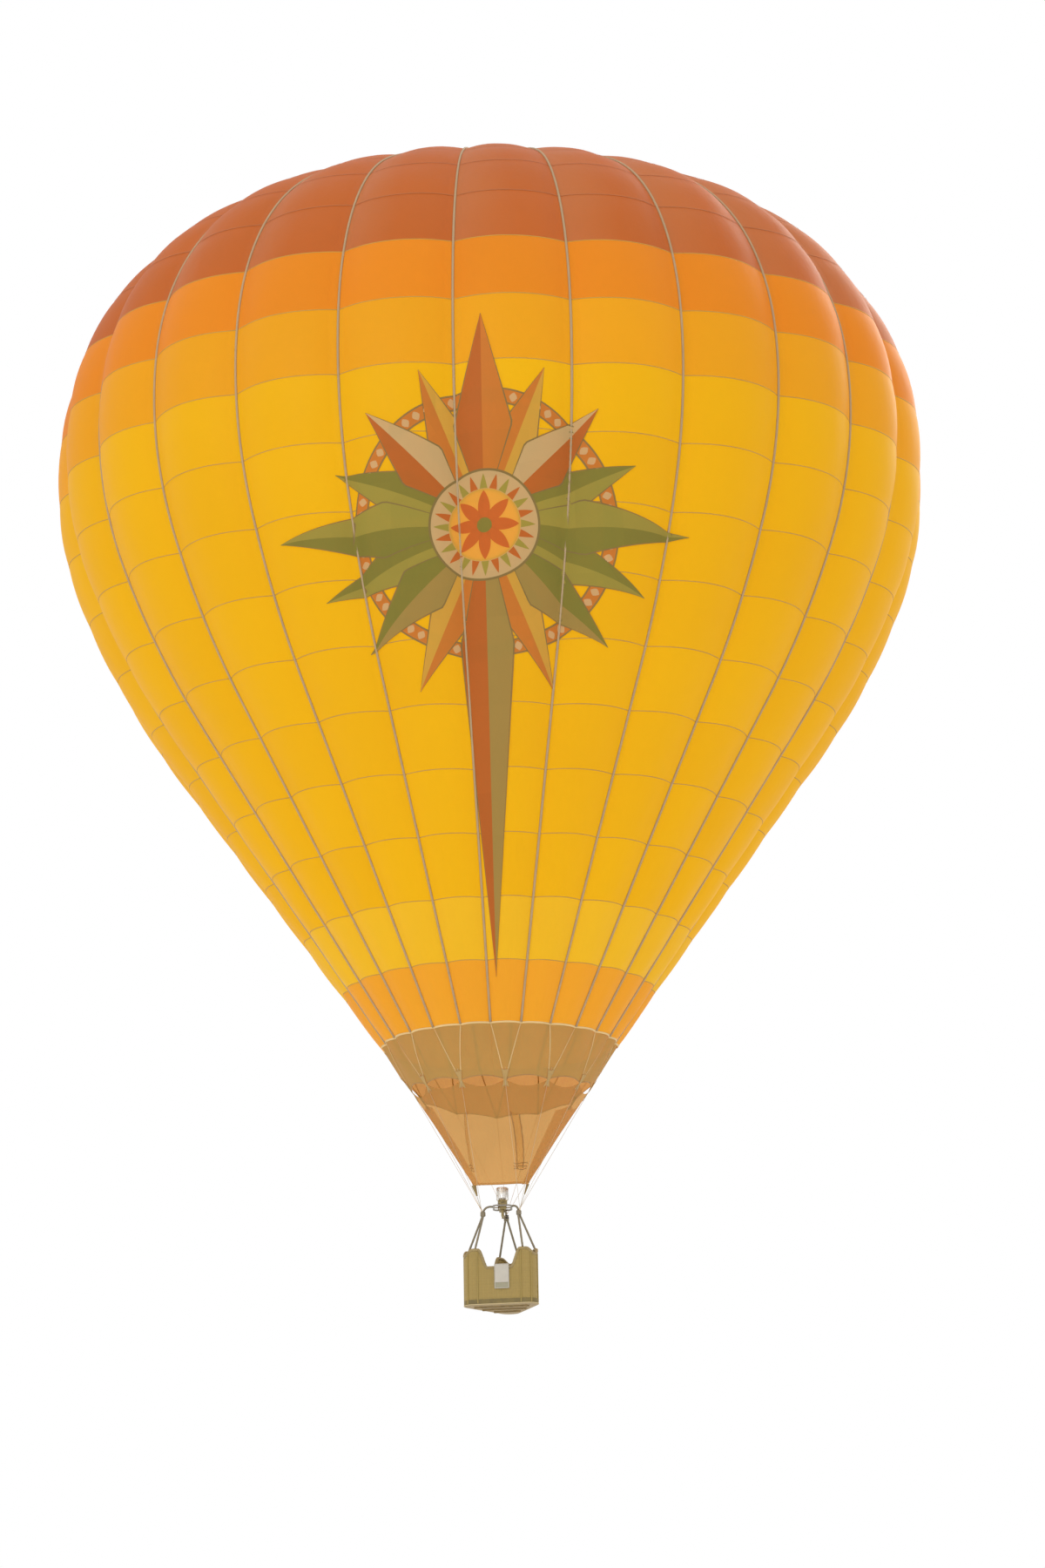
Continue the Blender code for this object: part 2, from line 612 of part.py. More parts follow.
def build_basket():
    wicker = finish("wicker", (0.36, 0.24, 0.09), 0.75)
    wood = finish("basket_wood", (0.45, 0.30, 0.15), 0.6)
    hide = finish("hide", (0.20, 0.13, 0.06), 0.6)
    floor_top = RUNNER[1] + GAP + FLOOR
    wall_foot = floor_top + GAP

    outline = [point for corner in ("left", "right", "back") for point in basket_line(SCUFF[0])[corner]]
    count = len(outline)
    low = [point + Vector((0, 0, RUNNER[1] + GAP)) for point in outline]
    high = [point + Vector((0, 0, floor_top)) for point in outline]
    thick_sheet("basket_floor", high, low, [tuple(range(count))], wood)

    for corner in CORNER_AZIMUTHS:
        outer, inner = corner_run(corner, 0.0), corner_run(corner, -WICKER)
        heights = [[wall_foot] * len(outer), under_rim(corner)]
        upright_sheet("basket_corner_" + corner, outer, inner, heights, wicker)

    length = side_length()
    top = mirrored(lowered(rim_line(), RIM_RADIUS + GAP), length)
    for side, azimuth in SIDE_AZIMUTHS.items():
        face = direction(azimuth) * (CORNER_CENTRE / 2 + CORNER_ROUND)
        outer, levels = [], []
        for distance, height in top:
            distance = min(max(distance, GAP), length - GAP)
            outer.append(face + along(azimuth) * (distance - length / 2))
            levels.append(height)
        inner = [point - direction(azimuth) * WICKER for point in outer]
        upright_sheet("basket_wall_" + side, outer, inner, [[wall_foot] * len(outer), levels], wicker)

    roll = mirrored(rim_line(), length)
    path = []
    for corner, side in (("left", "front"), ("right", "right"), ("back", "left")):
        azimuth = SIDE_AZIMUTHS[side]
        for point, level in list(zip(corner_run(corner, -WICKER / 2), corner_levels()))[:-1]:
            path.append(point + Vector((0, 0, level - RIM_RADIUS)))
        start = corner_run(corner, -WICKER / 2)[-1]
        for distance, height in roll[:-1]:
            path.append(start + along(azimuth) * distance + Vector((0, 0, height)))
    tube("basket_rim", path, RIM_RADIUS, 8, hide, closed=True)

    inner = [point for corner in ("left", "right", "back") for point in basket_line(GAP)[corner]]
    band = [[level] * count for level in (wall_foot, wall_foot + SCUFF[1])]
    outer_points, inner_points = [], []
    for row in band:
        for near, far, height in zip(outline, inner, row):
            outer_points.append(near + Vector((0, 0, height)))
            inner_points.append(far + Vector((0, 0, height)))
    thick_sheet("scuff_band", outer_points, inner_points, grid_faces(2, count, True), hide)

    for name, forward, half in (("runner_front", -0.30, 0.62), ("runner_middle", 0.05, 0.50), ("runner_back", 0.40, 0.30)):
        aim, across = along(BASKET_TURN), direction(BASKET_TURN + 180)
        points = []
        for height in (0.0, RUNNER[1]):
            for ahead, beside in ((-1, -1), (1, -1), (1, 1), (-1, 1)):
                flat = aim * ahead * half + across * (forward + beside * RUNNER[0] / 2)
                points.append(flat + Vector((0, 0, height)))
        faces = [(0, 1, 2, 3), (4, 5, 6, 7), (0, 1, 5, 4), (1, 2, 6, 5), (2, 3, 7, 6), (3, 0, 4, 7)]
        mesh_object(name, points, faces, wood)

    steel = finish("fuel_tank", (0.55, 0.55, 0.53), 0.35, 1.0)
    dome = 0.07
    outline = [(0, 0), (TANK_RADIUS - 0.02, 0), (TANK_RADIUS, 0.02), (TANK_RADIUS, TANK_HEIGHT - dome)]
    outline += [(TANK_RADIUS * 0.8, TANK_HEIGHT - dome * 0.35), (TANK_RADIUS * 0.35, TANK_HEIGHT), (0, TANK_HEIGHT)]
    for corner, azimuth in CORNER_AZIMUTHS.items():
        centre = direction(azimuth) * CORNER_CENTRE + Vector((0, 0, floor_top + GAP))
        turned("fuel_tank_" + corner, outline, 16, centre, steel)

    face = direction(BASKET_TURN) * (CORNER_CENTRE / 2 + CORNER_ROUND - WICKER / 2 + RIM_RADIUS + GAP)
    points = []
    for out in (0.0, BANNER_CLOTH):
        for height in (BANNER_TOP - BANNER[1], BANNER_TOP):
            for beside in (-BANNER[0] / 2, BANNER[0] / 2):
                flat = face + direction(BASKET_TURN) * out + along(BASKET_TURN) * (beside + 0.06)
                points.append(flat + Vector((0, 0, height)))
    faces = [(0, 1, 3, 2), (4, 5, 7, 6), (0, 1, 5, 4), (2, 3, 7, 6), (0, 2, 6, 4), (1, 3, 7, 5)]
    mesh_object("banner", points, faces, finish("banner", (0.54, 0.50, 0.43), 0.8))


def build_uprights():
    """Two padded poles rise from each corner of the basket to the frame's socket above it."""
    cover = finish("pole_cover", (0.17, 0.14, 0.11), 0.7)
    for corner, azimuth in CORNER_AZIMUTHS.items():
        run = corner_run(corner, -WICKER / 2)
        for number, foot, nearby in ((1, run[0], run[1]), (2, run[-1], run[-2])):
            start = foot.lerp(nearby, 0.4) + Vector((0, 0, RIM_HIGH + GAP))
            beside = along(azimuth) * UPRIGHT_SPREAD * (1 if number == 2 else -1)
            end = shoulder(corner) + beside - Vector((0, 0, SOCKET[1] / 2 + GAP))
            tube(f"upright_{corner}_{number}", (start, end), UPRIGHT_RADIUS, 8, cover, level_ends=True)


def build_burner_frame():
    steel = finish("burner_frame", (0.40, 0.38, 0.34), 0.4, 1.0)
    wide, deep = FRAME_HALF
    loop = []
    for x, y in ((wide, -deep), (wide, deep), (-wide, deep), (-wide, -deep)):
        on_end = (x - math.copysign(FRAME_CHAMFER, x), y, FRAME_HEIGHT)
        on_side = (x, y - math.copysign(FRAME_CHAMFER, y), FRAME_HEIGHT)
        loop += [on_end, on_side] if x * y < 0 else [on_side, on_end]
    frame = tube("burner_frame", loop, FRAME_TUBE, 8, steel, closed=True)
    helpers = []
    # Columns: corner, x and y where its arm meets the gimbal loop.
    for corner, x, y in (("left", -wide, -0.11), ("right", wide, -0.17), ("back", 0.05, deep)):
        top = shoulder(corner)
        meet = Vector((x, y, FRAME_HEIGHT))
        crest = Vector((top.x, top.y, FRAME_HEIGHT + ARM_CREST)).lerp(meet, 0.1)
        path = [top.lerp(crest, share).lerp(crest.lerp(meet, share), share) for share in between(0, 1, ARM_STEPS)]
        helpers.append(tube(f"arm_{corner}", path, ARM_RADIUS, 8, steel, helper=True))
        outline = [(0, -SOCKET[1] / 2), (SOCKET[0], -SOCKET[1] / 2), (SOCKET[0], SOCKET[1] / 2), (0, SOCKET[1] / 2)]
        helpers.append(turned(f"socket_{corner}", outline, 12, top, steel, helper=True))
    join(frame, helpers)


def build_burner():
    """The twin burner rocks on two pins that face the sides of the gimbal loop."""
    brass = finish("burner_block", (0.32, 0.27, 0.19), 0.45, 0.8)
    stainless = finish("burner_can", (0.62, 0.60, 0.55), 0.28, 1.0)
    half_x, half_y = BLOCK_HALF
    low, high = FRAME_HEIGHT - 0.07, CAN_BOTTOM - GAP
    block = box("burner_block", (-half_x, -half_y, low), (half_x, half_y, high - 0.05), brass)
    helpers = [box("block_top", (-0.05, -0.20, high - 0.06), (0.05, 0.20, high), brass, helper=True)]
    reach = FRAME_HALF[0] - FRAME_TUBE - 0.0006
    pin = [(-reach, 0, FRAME_HEIGHT), (reach, 0, FRAME_HEIGHT)]
    helpers.append(tube("pivot_pins", pin, PIVOT_RADIUS, 12, brass, helper=True))
    for number, y in enumerate((-CAN_SPACING / 2, CAN_SPACING / 2)):
        centre = Vector((0, y, 0))
        valve = [(0, 2.075), (0.022, 2.075), (0.022, 2.12), (0.034, 2.125), (0.034, low + 0.01), (0, low + 0.01)]
        helpers.append(turned(f"valve_{number}", valve, 10, centre, brass, helper=True))
        lever = ((-0.015, y - 0.010, 2.085), (0.13, y + 0.010, 2.100))
        helpers.append(box(f"lever_{number}", *lever, brass, helper=True))
    join(block, helpers)
    inside = CAN_RADIUS - CAN_WALL
    cup = [(0, CAN_BOTTOM), (CAN_RADIUS * 0.72, CAN_BOTTOM), (CAN_RADIUS, CAN_BOTTOM + 0.045)]
    cup += [(CAN_RADIUS, CAN_TOP), (inside, CAN_TOP), (inside, CAN_BOTTOM + 0.05)]
    cup += [(CAN_RADIUS * 0.66, CAN_BOTTOM + CAN_WALL), (0, CAN_BOTTOM + CAN_WALL)]
    for name, y in (("burner_can_front", -CAN_SPACING / 2), ("burner_can_back", CAN_SPACING / 2)):
        turned(name, cup, 24, Vector((0, y, 0)), stainless)


def main():
    clear_scene()
    balloon = bpy.data.objects.new("balloon", None)
    balloon.location = (0, 0, -LIFT_HEIGHT)
    bpy.context.scene.collection.objects.link(balloon)
    build_envelope()
    build_parachute_vent()
    build_crown_tapes()
    build_crown_ring()
    build_scoop()
    build_flying_wires()
    build_burner_frame()
    build_burner()
    build_uprights()
    build_basket()


main()
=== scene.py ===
"""Looks of a hot air balloon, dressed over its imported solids, in metres, +Z up.

Heights are above the ground that the basket's runners would stand on. LIFT takes them to the frame of the solids,
whose origin is the envelope's centre of lift. Azimuths are in degrees about the balloon's axis, from -Y towards +X.
"""

import math

import bpy
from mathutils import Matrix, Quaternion, Vector, noise


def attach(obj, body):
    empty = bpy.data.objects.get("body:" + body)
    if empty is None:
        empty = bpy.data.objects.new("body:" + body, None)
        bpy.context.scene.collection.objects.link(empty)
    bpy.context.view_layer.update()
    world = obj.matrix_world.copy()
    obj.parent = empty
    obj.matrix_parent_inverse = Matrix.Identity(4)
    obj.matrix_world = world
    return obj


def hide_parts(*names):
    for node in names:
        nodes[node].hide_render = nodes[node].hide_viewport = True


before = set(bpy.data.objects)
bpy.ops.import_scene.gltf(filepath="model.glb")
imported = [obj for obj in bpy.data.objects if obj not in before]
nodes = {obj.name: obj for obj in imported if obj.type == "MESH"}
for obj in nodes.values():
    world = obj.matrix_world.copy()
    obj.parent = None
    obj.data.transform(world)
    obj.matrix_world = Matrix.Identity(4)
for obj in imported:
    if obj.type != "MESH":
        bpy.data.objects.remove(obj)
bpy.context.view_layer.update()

LIFT = 17.7

# The envelope, as its solids are cut. ROW is the height of a row of cloth along the side.
GORES = 24
GORE = 360 / GORES
TAPE_AZIMUTH = -4.5
SWELL_PER_GORE_WIDTH = 0.13
ROW = 1.494
MOUTH_RADIUS, MOUTH_HEIGHT = 1.80, 4.76
CONE_LEAN, CONE_SLANT = 35.5, 9.95
# Arcs above the cone: lean from the vertical where each ends, and its radius.
SIDE_ARCS = ((22.0, 16.3), (-6.6, 8.4), (-61.0, 6.0), (-90.0, 10.8))
MOUTH_TILT, MOUTH_RISE, MOUTH_ARCH, MOUTH_SPREAD = 0.09, 0.20, 0.10, 0.06
CROWN_FROM_ROW = 13
VENT_OPENING, VENT_LAP, VENT_BILLOW, SWELL_FADE = 2.80, 0.25, 0.035, 1.5
CLOTH = 0.010
GAP = 0.0003

# What hangs from it.
BASKET_TURN = -10.0
CORNER_AZIMUTHS = {"left": BASKET_TURN - 60, "right": BASKET_TURN + 60, "back": BASKET_TURN + 180}
SIDE_AZIMUTHS = {"front": BASKET_TURN, "right": BASKET_TURN + 120, "left": BASKET_TURN - 120}
WIRE_AZIMUTHS = {
    "left": (-117.0, -87.0, -57.0, -27.0),
    "right": (3.0, 33.0, 63.0, 93.0),
    "back": (123.0, 153.0, 183.0, 213.0),
}
WIRE_JOINS = [azimuth for azimuths in WIRE_AZIMUTHS.values() for azimuth in azimuths]
SHOULDER_RADIUS, SHOULDER_HEIGHT = 0.47, 2.13
SOCKET_TALL, KARABINER_TALL, KARABINER_OUT = 0.075, 0.075, 0.032

# Colours of the cloths, linear. The throat's and the scoop's also have one for the light that they let through.
# The crown's second colour is a painted sheen that pales one side of each gore.
TERRACOTTA, PAINTED_SHEEN_TERRACOTTA = (0.60, 0.180, 0.035), (0.60, 0.235, 0.085)
ORANGE, LOWER_ORANGE = (0.90, 0.345, 0.015), (1.00, 0.500, 0.030)
AMBER, LOWER_AMBER = (0.95, 0.500, 0.010), (1.00, 0.660, 0.020)
YELLOW = (1.00, 0.620, 0.000)
THROAT, THROAT_GLOW = (0.30, 0.400, 0.130), (0.90, 0.390, 0.140)


def direction(azimuth):
    angle = math.radians(azimuth)
    return Vector((math.sin(angle), -math.cos(angle), 0.0))


def along(azimuth):
    """To the right of an azimuth, as seen from outside."""
    return direction(azimuth + 90)


def outward(point):
    return Vector((point.x, point.y, 0)).normalized()


def at(x, y, height):
    """A point of the frame, from a height above the ground."""
    return Vector((x, y, height - LIFT))


def over(spot, height):
    return at(spot.x, spot.y, height)


def between(low, high, steps):
    return [low + (high - low) * step / steps for step in range(steps + 1)]


def mix(low, high, share):
    return low + (high - low) * share


def clamp(value, low=0.0, high=1.0):
    return min(max(value, low), high)


# Shape of the envelope. Depths by which the sewn cloth is drawn in: between its rows, in creases that run out
# from the tapes, in slow waves, and in the throat.
PILLOW, CREASE, WAVE, THROAT_HOLLOW = 0.022, 0.030, 0.018, 0.012
# Arches of the hem that are taller, just behind the widest places: times taller, first and last azimuth.
TALL_ARCHES = ((5.6, -117, -87), (3.4, 93, 123))


def profile(slant):
    """Radius, height and lean (radians from the vertical) at a distance up the envelope's side."""
    lean = math.radians(CONE_LEAN)
    step = min(slant, CONE_SLANT)
    radius = MOUTH_RADIUS + step * math.sin(lean)
    height = MOUTH_HEIGHT + step * math.cos(lean)
    left = slant - step
    for end_lean, bend in SIDE_ARCS:
        turn = min(left / bend, lean - math.radians(end_lean))
        radius += bend * (math.cos(lean - turn) - math.cos(lean))
        height += bend * (math.sin(lean) - math.sin(lean - turn))
        lean -= turn
        left -= turn * bend
    return radius - left, height, lean


def crown_slant(radius):
    """How far up the side the crown has a radius."""
    low, high = CROWN_FROM_ROW * ROW, CROWN_FROM_ROW * ROW + 12.0
    for _ in range(40):
        middle = (low + high) / 2
        if profile(middle)[0] > radius:
            low = middle
        else:
            high = middle
    return low


def cloth_point(slant, azimuth, inset=0.0):
    """A point of the gored side, below its outer face by an inset."""
    radius, height, lean = profile(slant)
    across = ((azimuth - TAPE_AZIMUTH) % GORE) / GORE
    swell = SWELL_PER_GORE_WIDTH * (2 * math.pi * radius / GORES)
    if lean < 0:
        swell *= clamp((radius - VENT_OPENING - VENT_LAP) / SWELL_FADE)
    radius -= swell * (2 * across - 1) ** 2
    radius -= inset * math.cos(lean)
    return over(direction(azimuth) * radius, height + inset * math.sin(lean))


def mouth_point(slant, azimuth, inset=0.0):
    """A point of the throat's hem, which is round and has no gores."""
    radius, height, lean = profile(slant)
    spot = direction(azimuth) * (radius + MOUTH_SPREAD - inset * math.cos(lean))
    return over(spot, height + inset * math.sin(lean))


def wire_arch(azimuth):
    """1 in the middle between two wires' tapes, 0 at each of them."""
    across = ((azimuth - WIRE_AZIMUTHS["left"][0]) % (2 * GORE)) / (2 * GORE)
    return 1 - (2 * across - 1) ** 2


def throat_arch(azimuth):
    """Height of the hem's arch over an azimuth."""
    turn = (azimuth + 180) % 360 - 180
    for taller, first, last in TALL_ARCHES:
        if first < turn < last:
            return MOUTH_ARCH * taller * wire_arch(azimuth) ** 0.6
    return MOUTH_ARCH * wire_arch(azimuth)


def hem_slant(azimuth):
    angle = math.radians(azimuth)
    return MOUTH_TILT * math.cos(angle) + MOUTH_RISE * math.sin(angle) ** 2


def throat_point(up, azimuth, proud=0.0):
    """A point of the throat, at a share of the way up from its hem to its top row."""
    low = mouth_point(hem_slant(azimuth) + throat_arch(azimuth), azimuth, -proud)
    high = cloth_point(ROW, azimuth, -proud)
    hollow = THROAT_HOLLOW * noise.noise(Vector((azimuth * 0.09, up * 2.5, 5.0))) * math.sin(math.pi * up)
    return low.lerp(high, up) - outward(low) * abs(hollow)


def pucker(slant, azimuth):
    """How far the sewn cloth stands out of its gored shape, which is less than nothing."""
    gore_width = 2 * math.pi * profile(slant)[0] / GORES
    round_by = (azimuth - TAPE_AZIMUTH) % 360
    across = (round_by % GORE) / GORE
    from_tape = min(across, 1 - across) * gore_width
    row = slant / ROW % 1
    pillow = PILLOW * (1 - (2 * row - 1) ** 2) * min(from_tape / 0.5, 1.0)
    spot = Vector((slant * 1.4, (round(round_by / GORE) % GORES) * 7.3, from_tape * 0.8))
    crease = noise.noise(spot) * CREASE * math.exp(-from_tape / 0.45) * min(from_tape / 0.30, 1.0)
    wave = noise.noise(Vector((slant * 0.45, round_by * 0.11, 3.0))) * WAVE * min(from_tape / 0.4, 1.0)
    return -(pillow + crease + wave)


# Modelling.


def pick(*pieces):
    """Selects pieces and nothing else, with the first one active."""
    if bpy.context.mode != "OBJECT":
        bpy.ops.object.mode_set(mode="OBJECT")
    bpy.ops.object.select_all(action="DESELECT")
    for piece in pieces:
        piece.select_set(True)
    if pieces:
        bpy.context.view_layer.objects.active = pieces[0]


def named(name):
    """Names the active object and its mesh."""
    piece = bpy.context.object
    piece.name = name
    piece.data.name = name
    return piece


def edit(operator, **settings):
    """Runs an operator of edit mode on everything of the active object."""
    bpy.ops.object.mode_set(mode="EDIT")
    bpy.ops.mesh.select_all(action="SELECT")
    operator(**settings)
    bpy.ops.object.mode_set(mode="OBJECT")


def cap_ends():
    """Closes the open ends of the active tube. An end that takes no face in the first way gets one in the second."""
    bpy.ops.object.mode_set(mode="EDIT")
    bpy.ops.mesh.select_all(action="DESELECT")
    bpy.ops.mesh.select_non_manifold(extend=False)
    bpy.ops.mesh.edge_face_add()
    bpy.ops.mesh.select_mode(type="EDGE")
    bpy.ops.mesh.select_all(action="DESELECT")
    bpy.ops.mesh.select_non_manifold(extend=False)
    bpy.ops.mesh.fill_holes(sides=0)
    bpy.ops.object.mode_set(mode="OBJECT")


def thicken(piece, thickness):
    """Gives a sheet its thickness, behind its face."""
    pick(piece)
    modifier = piece.modifiers.new("Solidify", "SOLIDIFY")
    modifier.thickness = thickness
    modifier.offset = -1.0
    modifier.use_even_offset = False
    bpy.ops.object.modifier_apply(modifier=modifier.name)
    return piece


def smooth(piece, degrees):
    pick(piece)
    bpy.ops.object.shade_smooth_by_angle(angle=math.radians(degrees))
    return piece


def joined(name, parts):
    """Separate pieces made one object."""
    pick(*parts)
    bpy.ops.object.join()
    return named(name)


def grid_sheet(name, columns, rows, place, chart=None, join_edges=False):
    """A grid whose points are laid where place(u, v) says, with u and v from 0 to 1. The chart gives its UV map."""
    pick()
    bpy.ops.mesh.primitive_grid_add(x_subdivisions=columns, y_subdivisions=rows, size=2, calc_uvs=True)
    sheet = named(name)
    spots = [(vertex.co.x / 2 + 0.5, vertex.co.y / 2 + 0.5) for vertex in sheet.data.vertices]
    for vertex, spot in zip(sheet.data.vertices, spots):
        vertex.co = place(*spot)
    layer = sheet.data.uv_layers.active
    layer.name = "chart"
    if chart:
        for loop in sheet.data.loops:
            layer.data[loop.index].uv = chart(*spots[loop.vertex_index])
    if join_edges:
        edit(bpy.ops.mesh.remove_doubles, threshold=0.00005)
    return smooth(sheet, 60)


def smooth_path(points, steps):
    """A smooth line through points, as by hand with a spline."""
    points = [Vector(point) for point in points]
    points = [2 * points[0] - points[1], *points, 2 * points[-1] - points[-2]]
    line = []
    for a, b, c, d in zip(points, points[1:], points[2:], points[3:]):
        for step in range(steps):
            t = step / steps
            square, cube = (2 * a - 5 * b + 4 * c - d) * t * t, (3 * b - a - 3 * c + d) * t**3
            line.append(0.5 * (2 * b + (c - a) * t + square + cube))
    return [*line, points[-2]]


def tube(name, path, radius, sides, closed=False):
    """A smooth round tube along a path. The radius is a number, or a function of the share along the path."""
    path = [Vector(point) for point in path]
    radius_at = radius if callable(radius) else lambda share: radius
    count = len(path)
    reach = [0.0]
    for here, there in zip(path, [*path[1:], path[0]] if closed else path[1:]):
        reach.append(reach[-1] + (there - here).length)
    rings = len(reach)
    aims = []
    for i in range(count):
        before = path[i - 1] if closed or i else path[i]
        after = path[(i + 1) % count] if closed or i < count - 1 else path[i]
        aims.append((after - before).normalized())
    up = Vector((0, 0, 1)) if abs(aims[0].z) < 0.9 else Vector((1, 0, 0))
    side = aims[0].cross(up).normalized()
    sides_at = []
    for aim in aims:
        side = (side - aim * side.dot(aim)).normalized()
        sides_at.append(side.copy())
    if closed:
        # Spread the turn that is left at the end over the whole ring.
        last = sides_at[-1] - aims[0] * sides_at[-1].dot(aims[0])
        twist = math.atan2(aims[0].dot(last.cross(sides_at[0])), last.dot(sides_at[0]))
        for i, aim in enumerate(aims):
            sides_at[i] = Quaternion(aim, twist * i / count) @ sides_at[i]

    def place(u, v):
        i = round(v * (rings - 1))
        spot, aim, side = path[i % count], aims[i % count], sides_at[i % count]
        angle = 2 * math.pi * u
        out = side * math.cos(angle) + side.cross(aim) * -math.sin(angle)
        return spot + out * radius_at(reach[i] / reach[-1])

    piece = grid_sheet(name, sides, rings - 1, place, lambda u, v: (u, reach[round(v * (rings - 1))]), True)
    if not closed:
        cap_ends()
    edit(bpy.ops.mesh.normals_make_consistent, inside=False)
    return smooth(piece, 50)


def lathe(name, outline, centre, sides, axis=(0, 0, 1)):
    """A turned body. Outline points are (radius, height); a point on the axis closes it."""

    def place(u, v):
        radius, height = outline[round(v * (len(outline) - 1))]
        angle = 2 * math.pi * u
        return Vector((radius * math.cos(angle), radius * math.sin(angle), height))

    piece = grid_sheet(name, sides, len(outline) - 1, place, join_edges=True)
    turn = Vector((0, 0, 1)).rotation_difference(Vector(axis))
    for vertex in piece.data.vertices:
        vertex.co = turn @ vertex.co + Vector(centre)
    edit(bpy.ops.mesh.normals_make_consistent, inside=False)
    return smooth(piece, 40)


def plug(radius, height):
    return [(0, 0), (radius, 0), (radius, height), (0, height)]


def hoop(inner, outer, low, high):
    return [(inner, low), (outer, low), (outer, high), (inner, high), (inner, low)]


# Materials.


def combine(operation, swapped=False):
    def operator(self, other):
        pair = (other, self) if swapped else (self, other)
        return self.finish.node("Math", {"operation": operation}, *pair)

    return operator


def change(operation):
    return lambda self: self.finish.node("Math", {"operation": operation}, self)


class Value:
    """A socket of a material. Arithmetic on it adds Math nodes."""

    def __init__(self, finish, socket):
        self.finish, self.socket = finish, socket

    __add__, __radd__ = combine("ADD"), combine("ADD", True)
    __sub__, __rsub__ = combine("SUBTRACT"), combine("SUBTRACT", True)
    __mul__, __truediv__ = combine("MULTIPLY"), combine("DIVIDE")
    __abs__, sine, floor = change("ABSOLUTE"), change("SINE"), change("FLOOR")

    def limited(self):
        return self.finish.node("Clamp", {}, self)


class Finish:
    """A material and its nodes. Constants go straight onto the surface shader's sockets."""

    def __init__(self, name, **constants):
        self.material = bpy.data.materials.new(name)
        self.material.use_nodes = True
        self.tree = self.material.node_tree
        self.surface = self.tree.nodes["Principled BSDF"]
        self.output = self.tree.nodes["Material Output"]
        for socket, value in constants.items():
            self.surface.inputs[socket.replace("_", " ")].default_value = value

    def feed(self, socket, value):
        if isinstance(value, Value):
            self.tree.links.new(value.socket, socket)
        elif isinstance(value, tuple) and len(value) == 3 and socket.type == "RGBA":
            socket.default_value = (*value, 1.0)
        else:
            socket.default_value = value

    def node(self, kind, settings, *inputs, out=0, **named_inputs):
        """A node of a kind. Settings come first, then its sockets in order or by name."""
        node = self.tree.nodes.new("ShaderNode" + kind)
        for name, value in settings.items():
            setattr(node, name, value)
        for index, value in enumerate(inputs):
            self.feed(node.inputs[index], value)
        for name, value in named_inputs.items():
            self.feed(node.inputs[name.replace("_", " ")], value)
        return Value(self, node.outputs[out])

    def place(self):
        return self.node("TexCoord", {}, out="Object")

    def chart(self):
        return self.node("UVMap", {"uv_map": "chart"})

    def parts(self, vector):
        outputs = self.node("SeparateXYZ", {}, vector).socket.node.outputs
        return [Value(self, outputs[axis]) for axis in "XYZ"]

    def scaled(self, vector, scale):
        return self.node("Mapping", {}, vector, Scale=scale)

    def noise(self, scale, detail=3.0, roughness=0.5, vector=None):
        """A soft noise over the object's own space, or over the vector that is given."""
        vector = vector or self.place()
        return self.node("TexNoise", {}, Vector=vector, Scale=scale, Detail=detail, Roughness=roughness)

    def blend(self, share, low, high):
        """Two colours mixed by a share."""
        mixed = self.node("Mix", {"data_type": "RGBA", "blend_type": "MIX", "clamp_factor": True}, out=2)
        sockets = mixed.socket.node.inputs
        for index, value in ((0, share), (6, low), (7, high)):
            self.feed(sockets[index], value)
        return mixed

    def tint(self, share, colour, low, high):
        """A colour between a darker and a lighter one of its kind."""
        return self.blend(share, shade(colour, low), shade(colour, high))

    def ramp(self, value, *stops):
        colours = self.node("ValToRGB", {}, value)
        elements = colours.socket.node.color_ramp.elements
        while len(elements) < len(stops):
            elements.new(0.5)
        for element, (position, colour) in zip(elements, stops):
            element.position = position
            element.color = (*colour, 1.0)
        return colours

    def finished(self, colour, roughness, height, distance, strength):
        """Feeds the surface its colour, its roughness and a bump, and gives the material."""
        bump = self.node("Bump", {}, Height=height, Distance=distance, Strength=strength)
        for name, value in (("Base Color", colour), ("Roughness", roughness), ("Normal", bump)):
            self.feed(self.surface.inputs[name], value)
        return self.material

    def through(self, colour, share, clear=0.0):
        """Lets light through: a share is scattered to the far side, and a part of the rest goes straight on."""
        scatter = self.node("BsdfTranslucent", {}, Color=colour)
        both = self.node("MixShader", {}, share, Value(self, self.surface.outputs[0]), scatter)
        if clear:
            straight = self.node("BsdfTransparent", {}, Color=colour)
            both = self.node("MixShader", {}, clear, both, straight)
        self.feed(self.output.inputs["Surface"], both)


def shade(colour, factor):
    return tuple(clamp(channel * factor) for channel in colour)


def envelope_cloth(name, colour, painted_sheen=None):
    """Ripstop nylon, a little different from panel to panel, creased and soft. It may have a painted sheen, paler,
    over one side of each gore.
    """
    cloth = Finish(name, Roughness=0.5, Specular_IOR_Level=0.25, Sheen_Weight=0.06, Sheen_Roughness=0.4)
    chart = cloth.chart()
    gore, row, _ = cloth.parts(chart)
    panel = cloth.node("CombineXYZ", {}, gore.floor(), row.floor(), 0.0)
    tone = cloth.node("TexWhiteNoise", {"noise_dimensions": "2D"}, Vector=panel)
    broad = cloth.noise(0.35, 2.0)
    fine = cloth.noise(2.2, 4.0, 0.6, cloth.scaled(chart, (4.0, 1.6, 1.0)))
    body = cloth.tint((tone * 0.35 + broad * 0.45 + fine * 0.20).limited(), colour, 0.93, 1.07)
    if painted_sheen:
        # Painted sheen: towards one side of each gore the cloth blends into the paler colour, as light from that side
        # would show it.
        sheen_side = (1.0 - (gore - gore.floor())) * 1.6 - 0.75 + (broad - 0.5) * 0.8
        body = cloth.blend(sheen_side.limited(), body, painted_sheen)
    weave = (gore * 260.0).sine() * (row * 150.0).sine()
    height = cloth.noise(3.0, 5.0, 0.65, cloth.scaled(chart, (3.0, 1.0, 1.0))) + weave * 0.02
    cloth.through(body, 0.45)
    return cloth.finished(body, 0.44 + fine * 0.14, height, 0.03, 0.35)


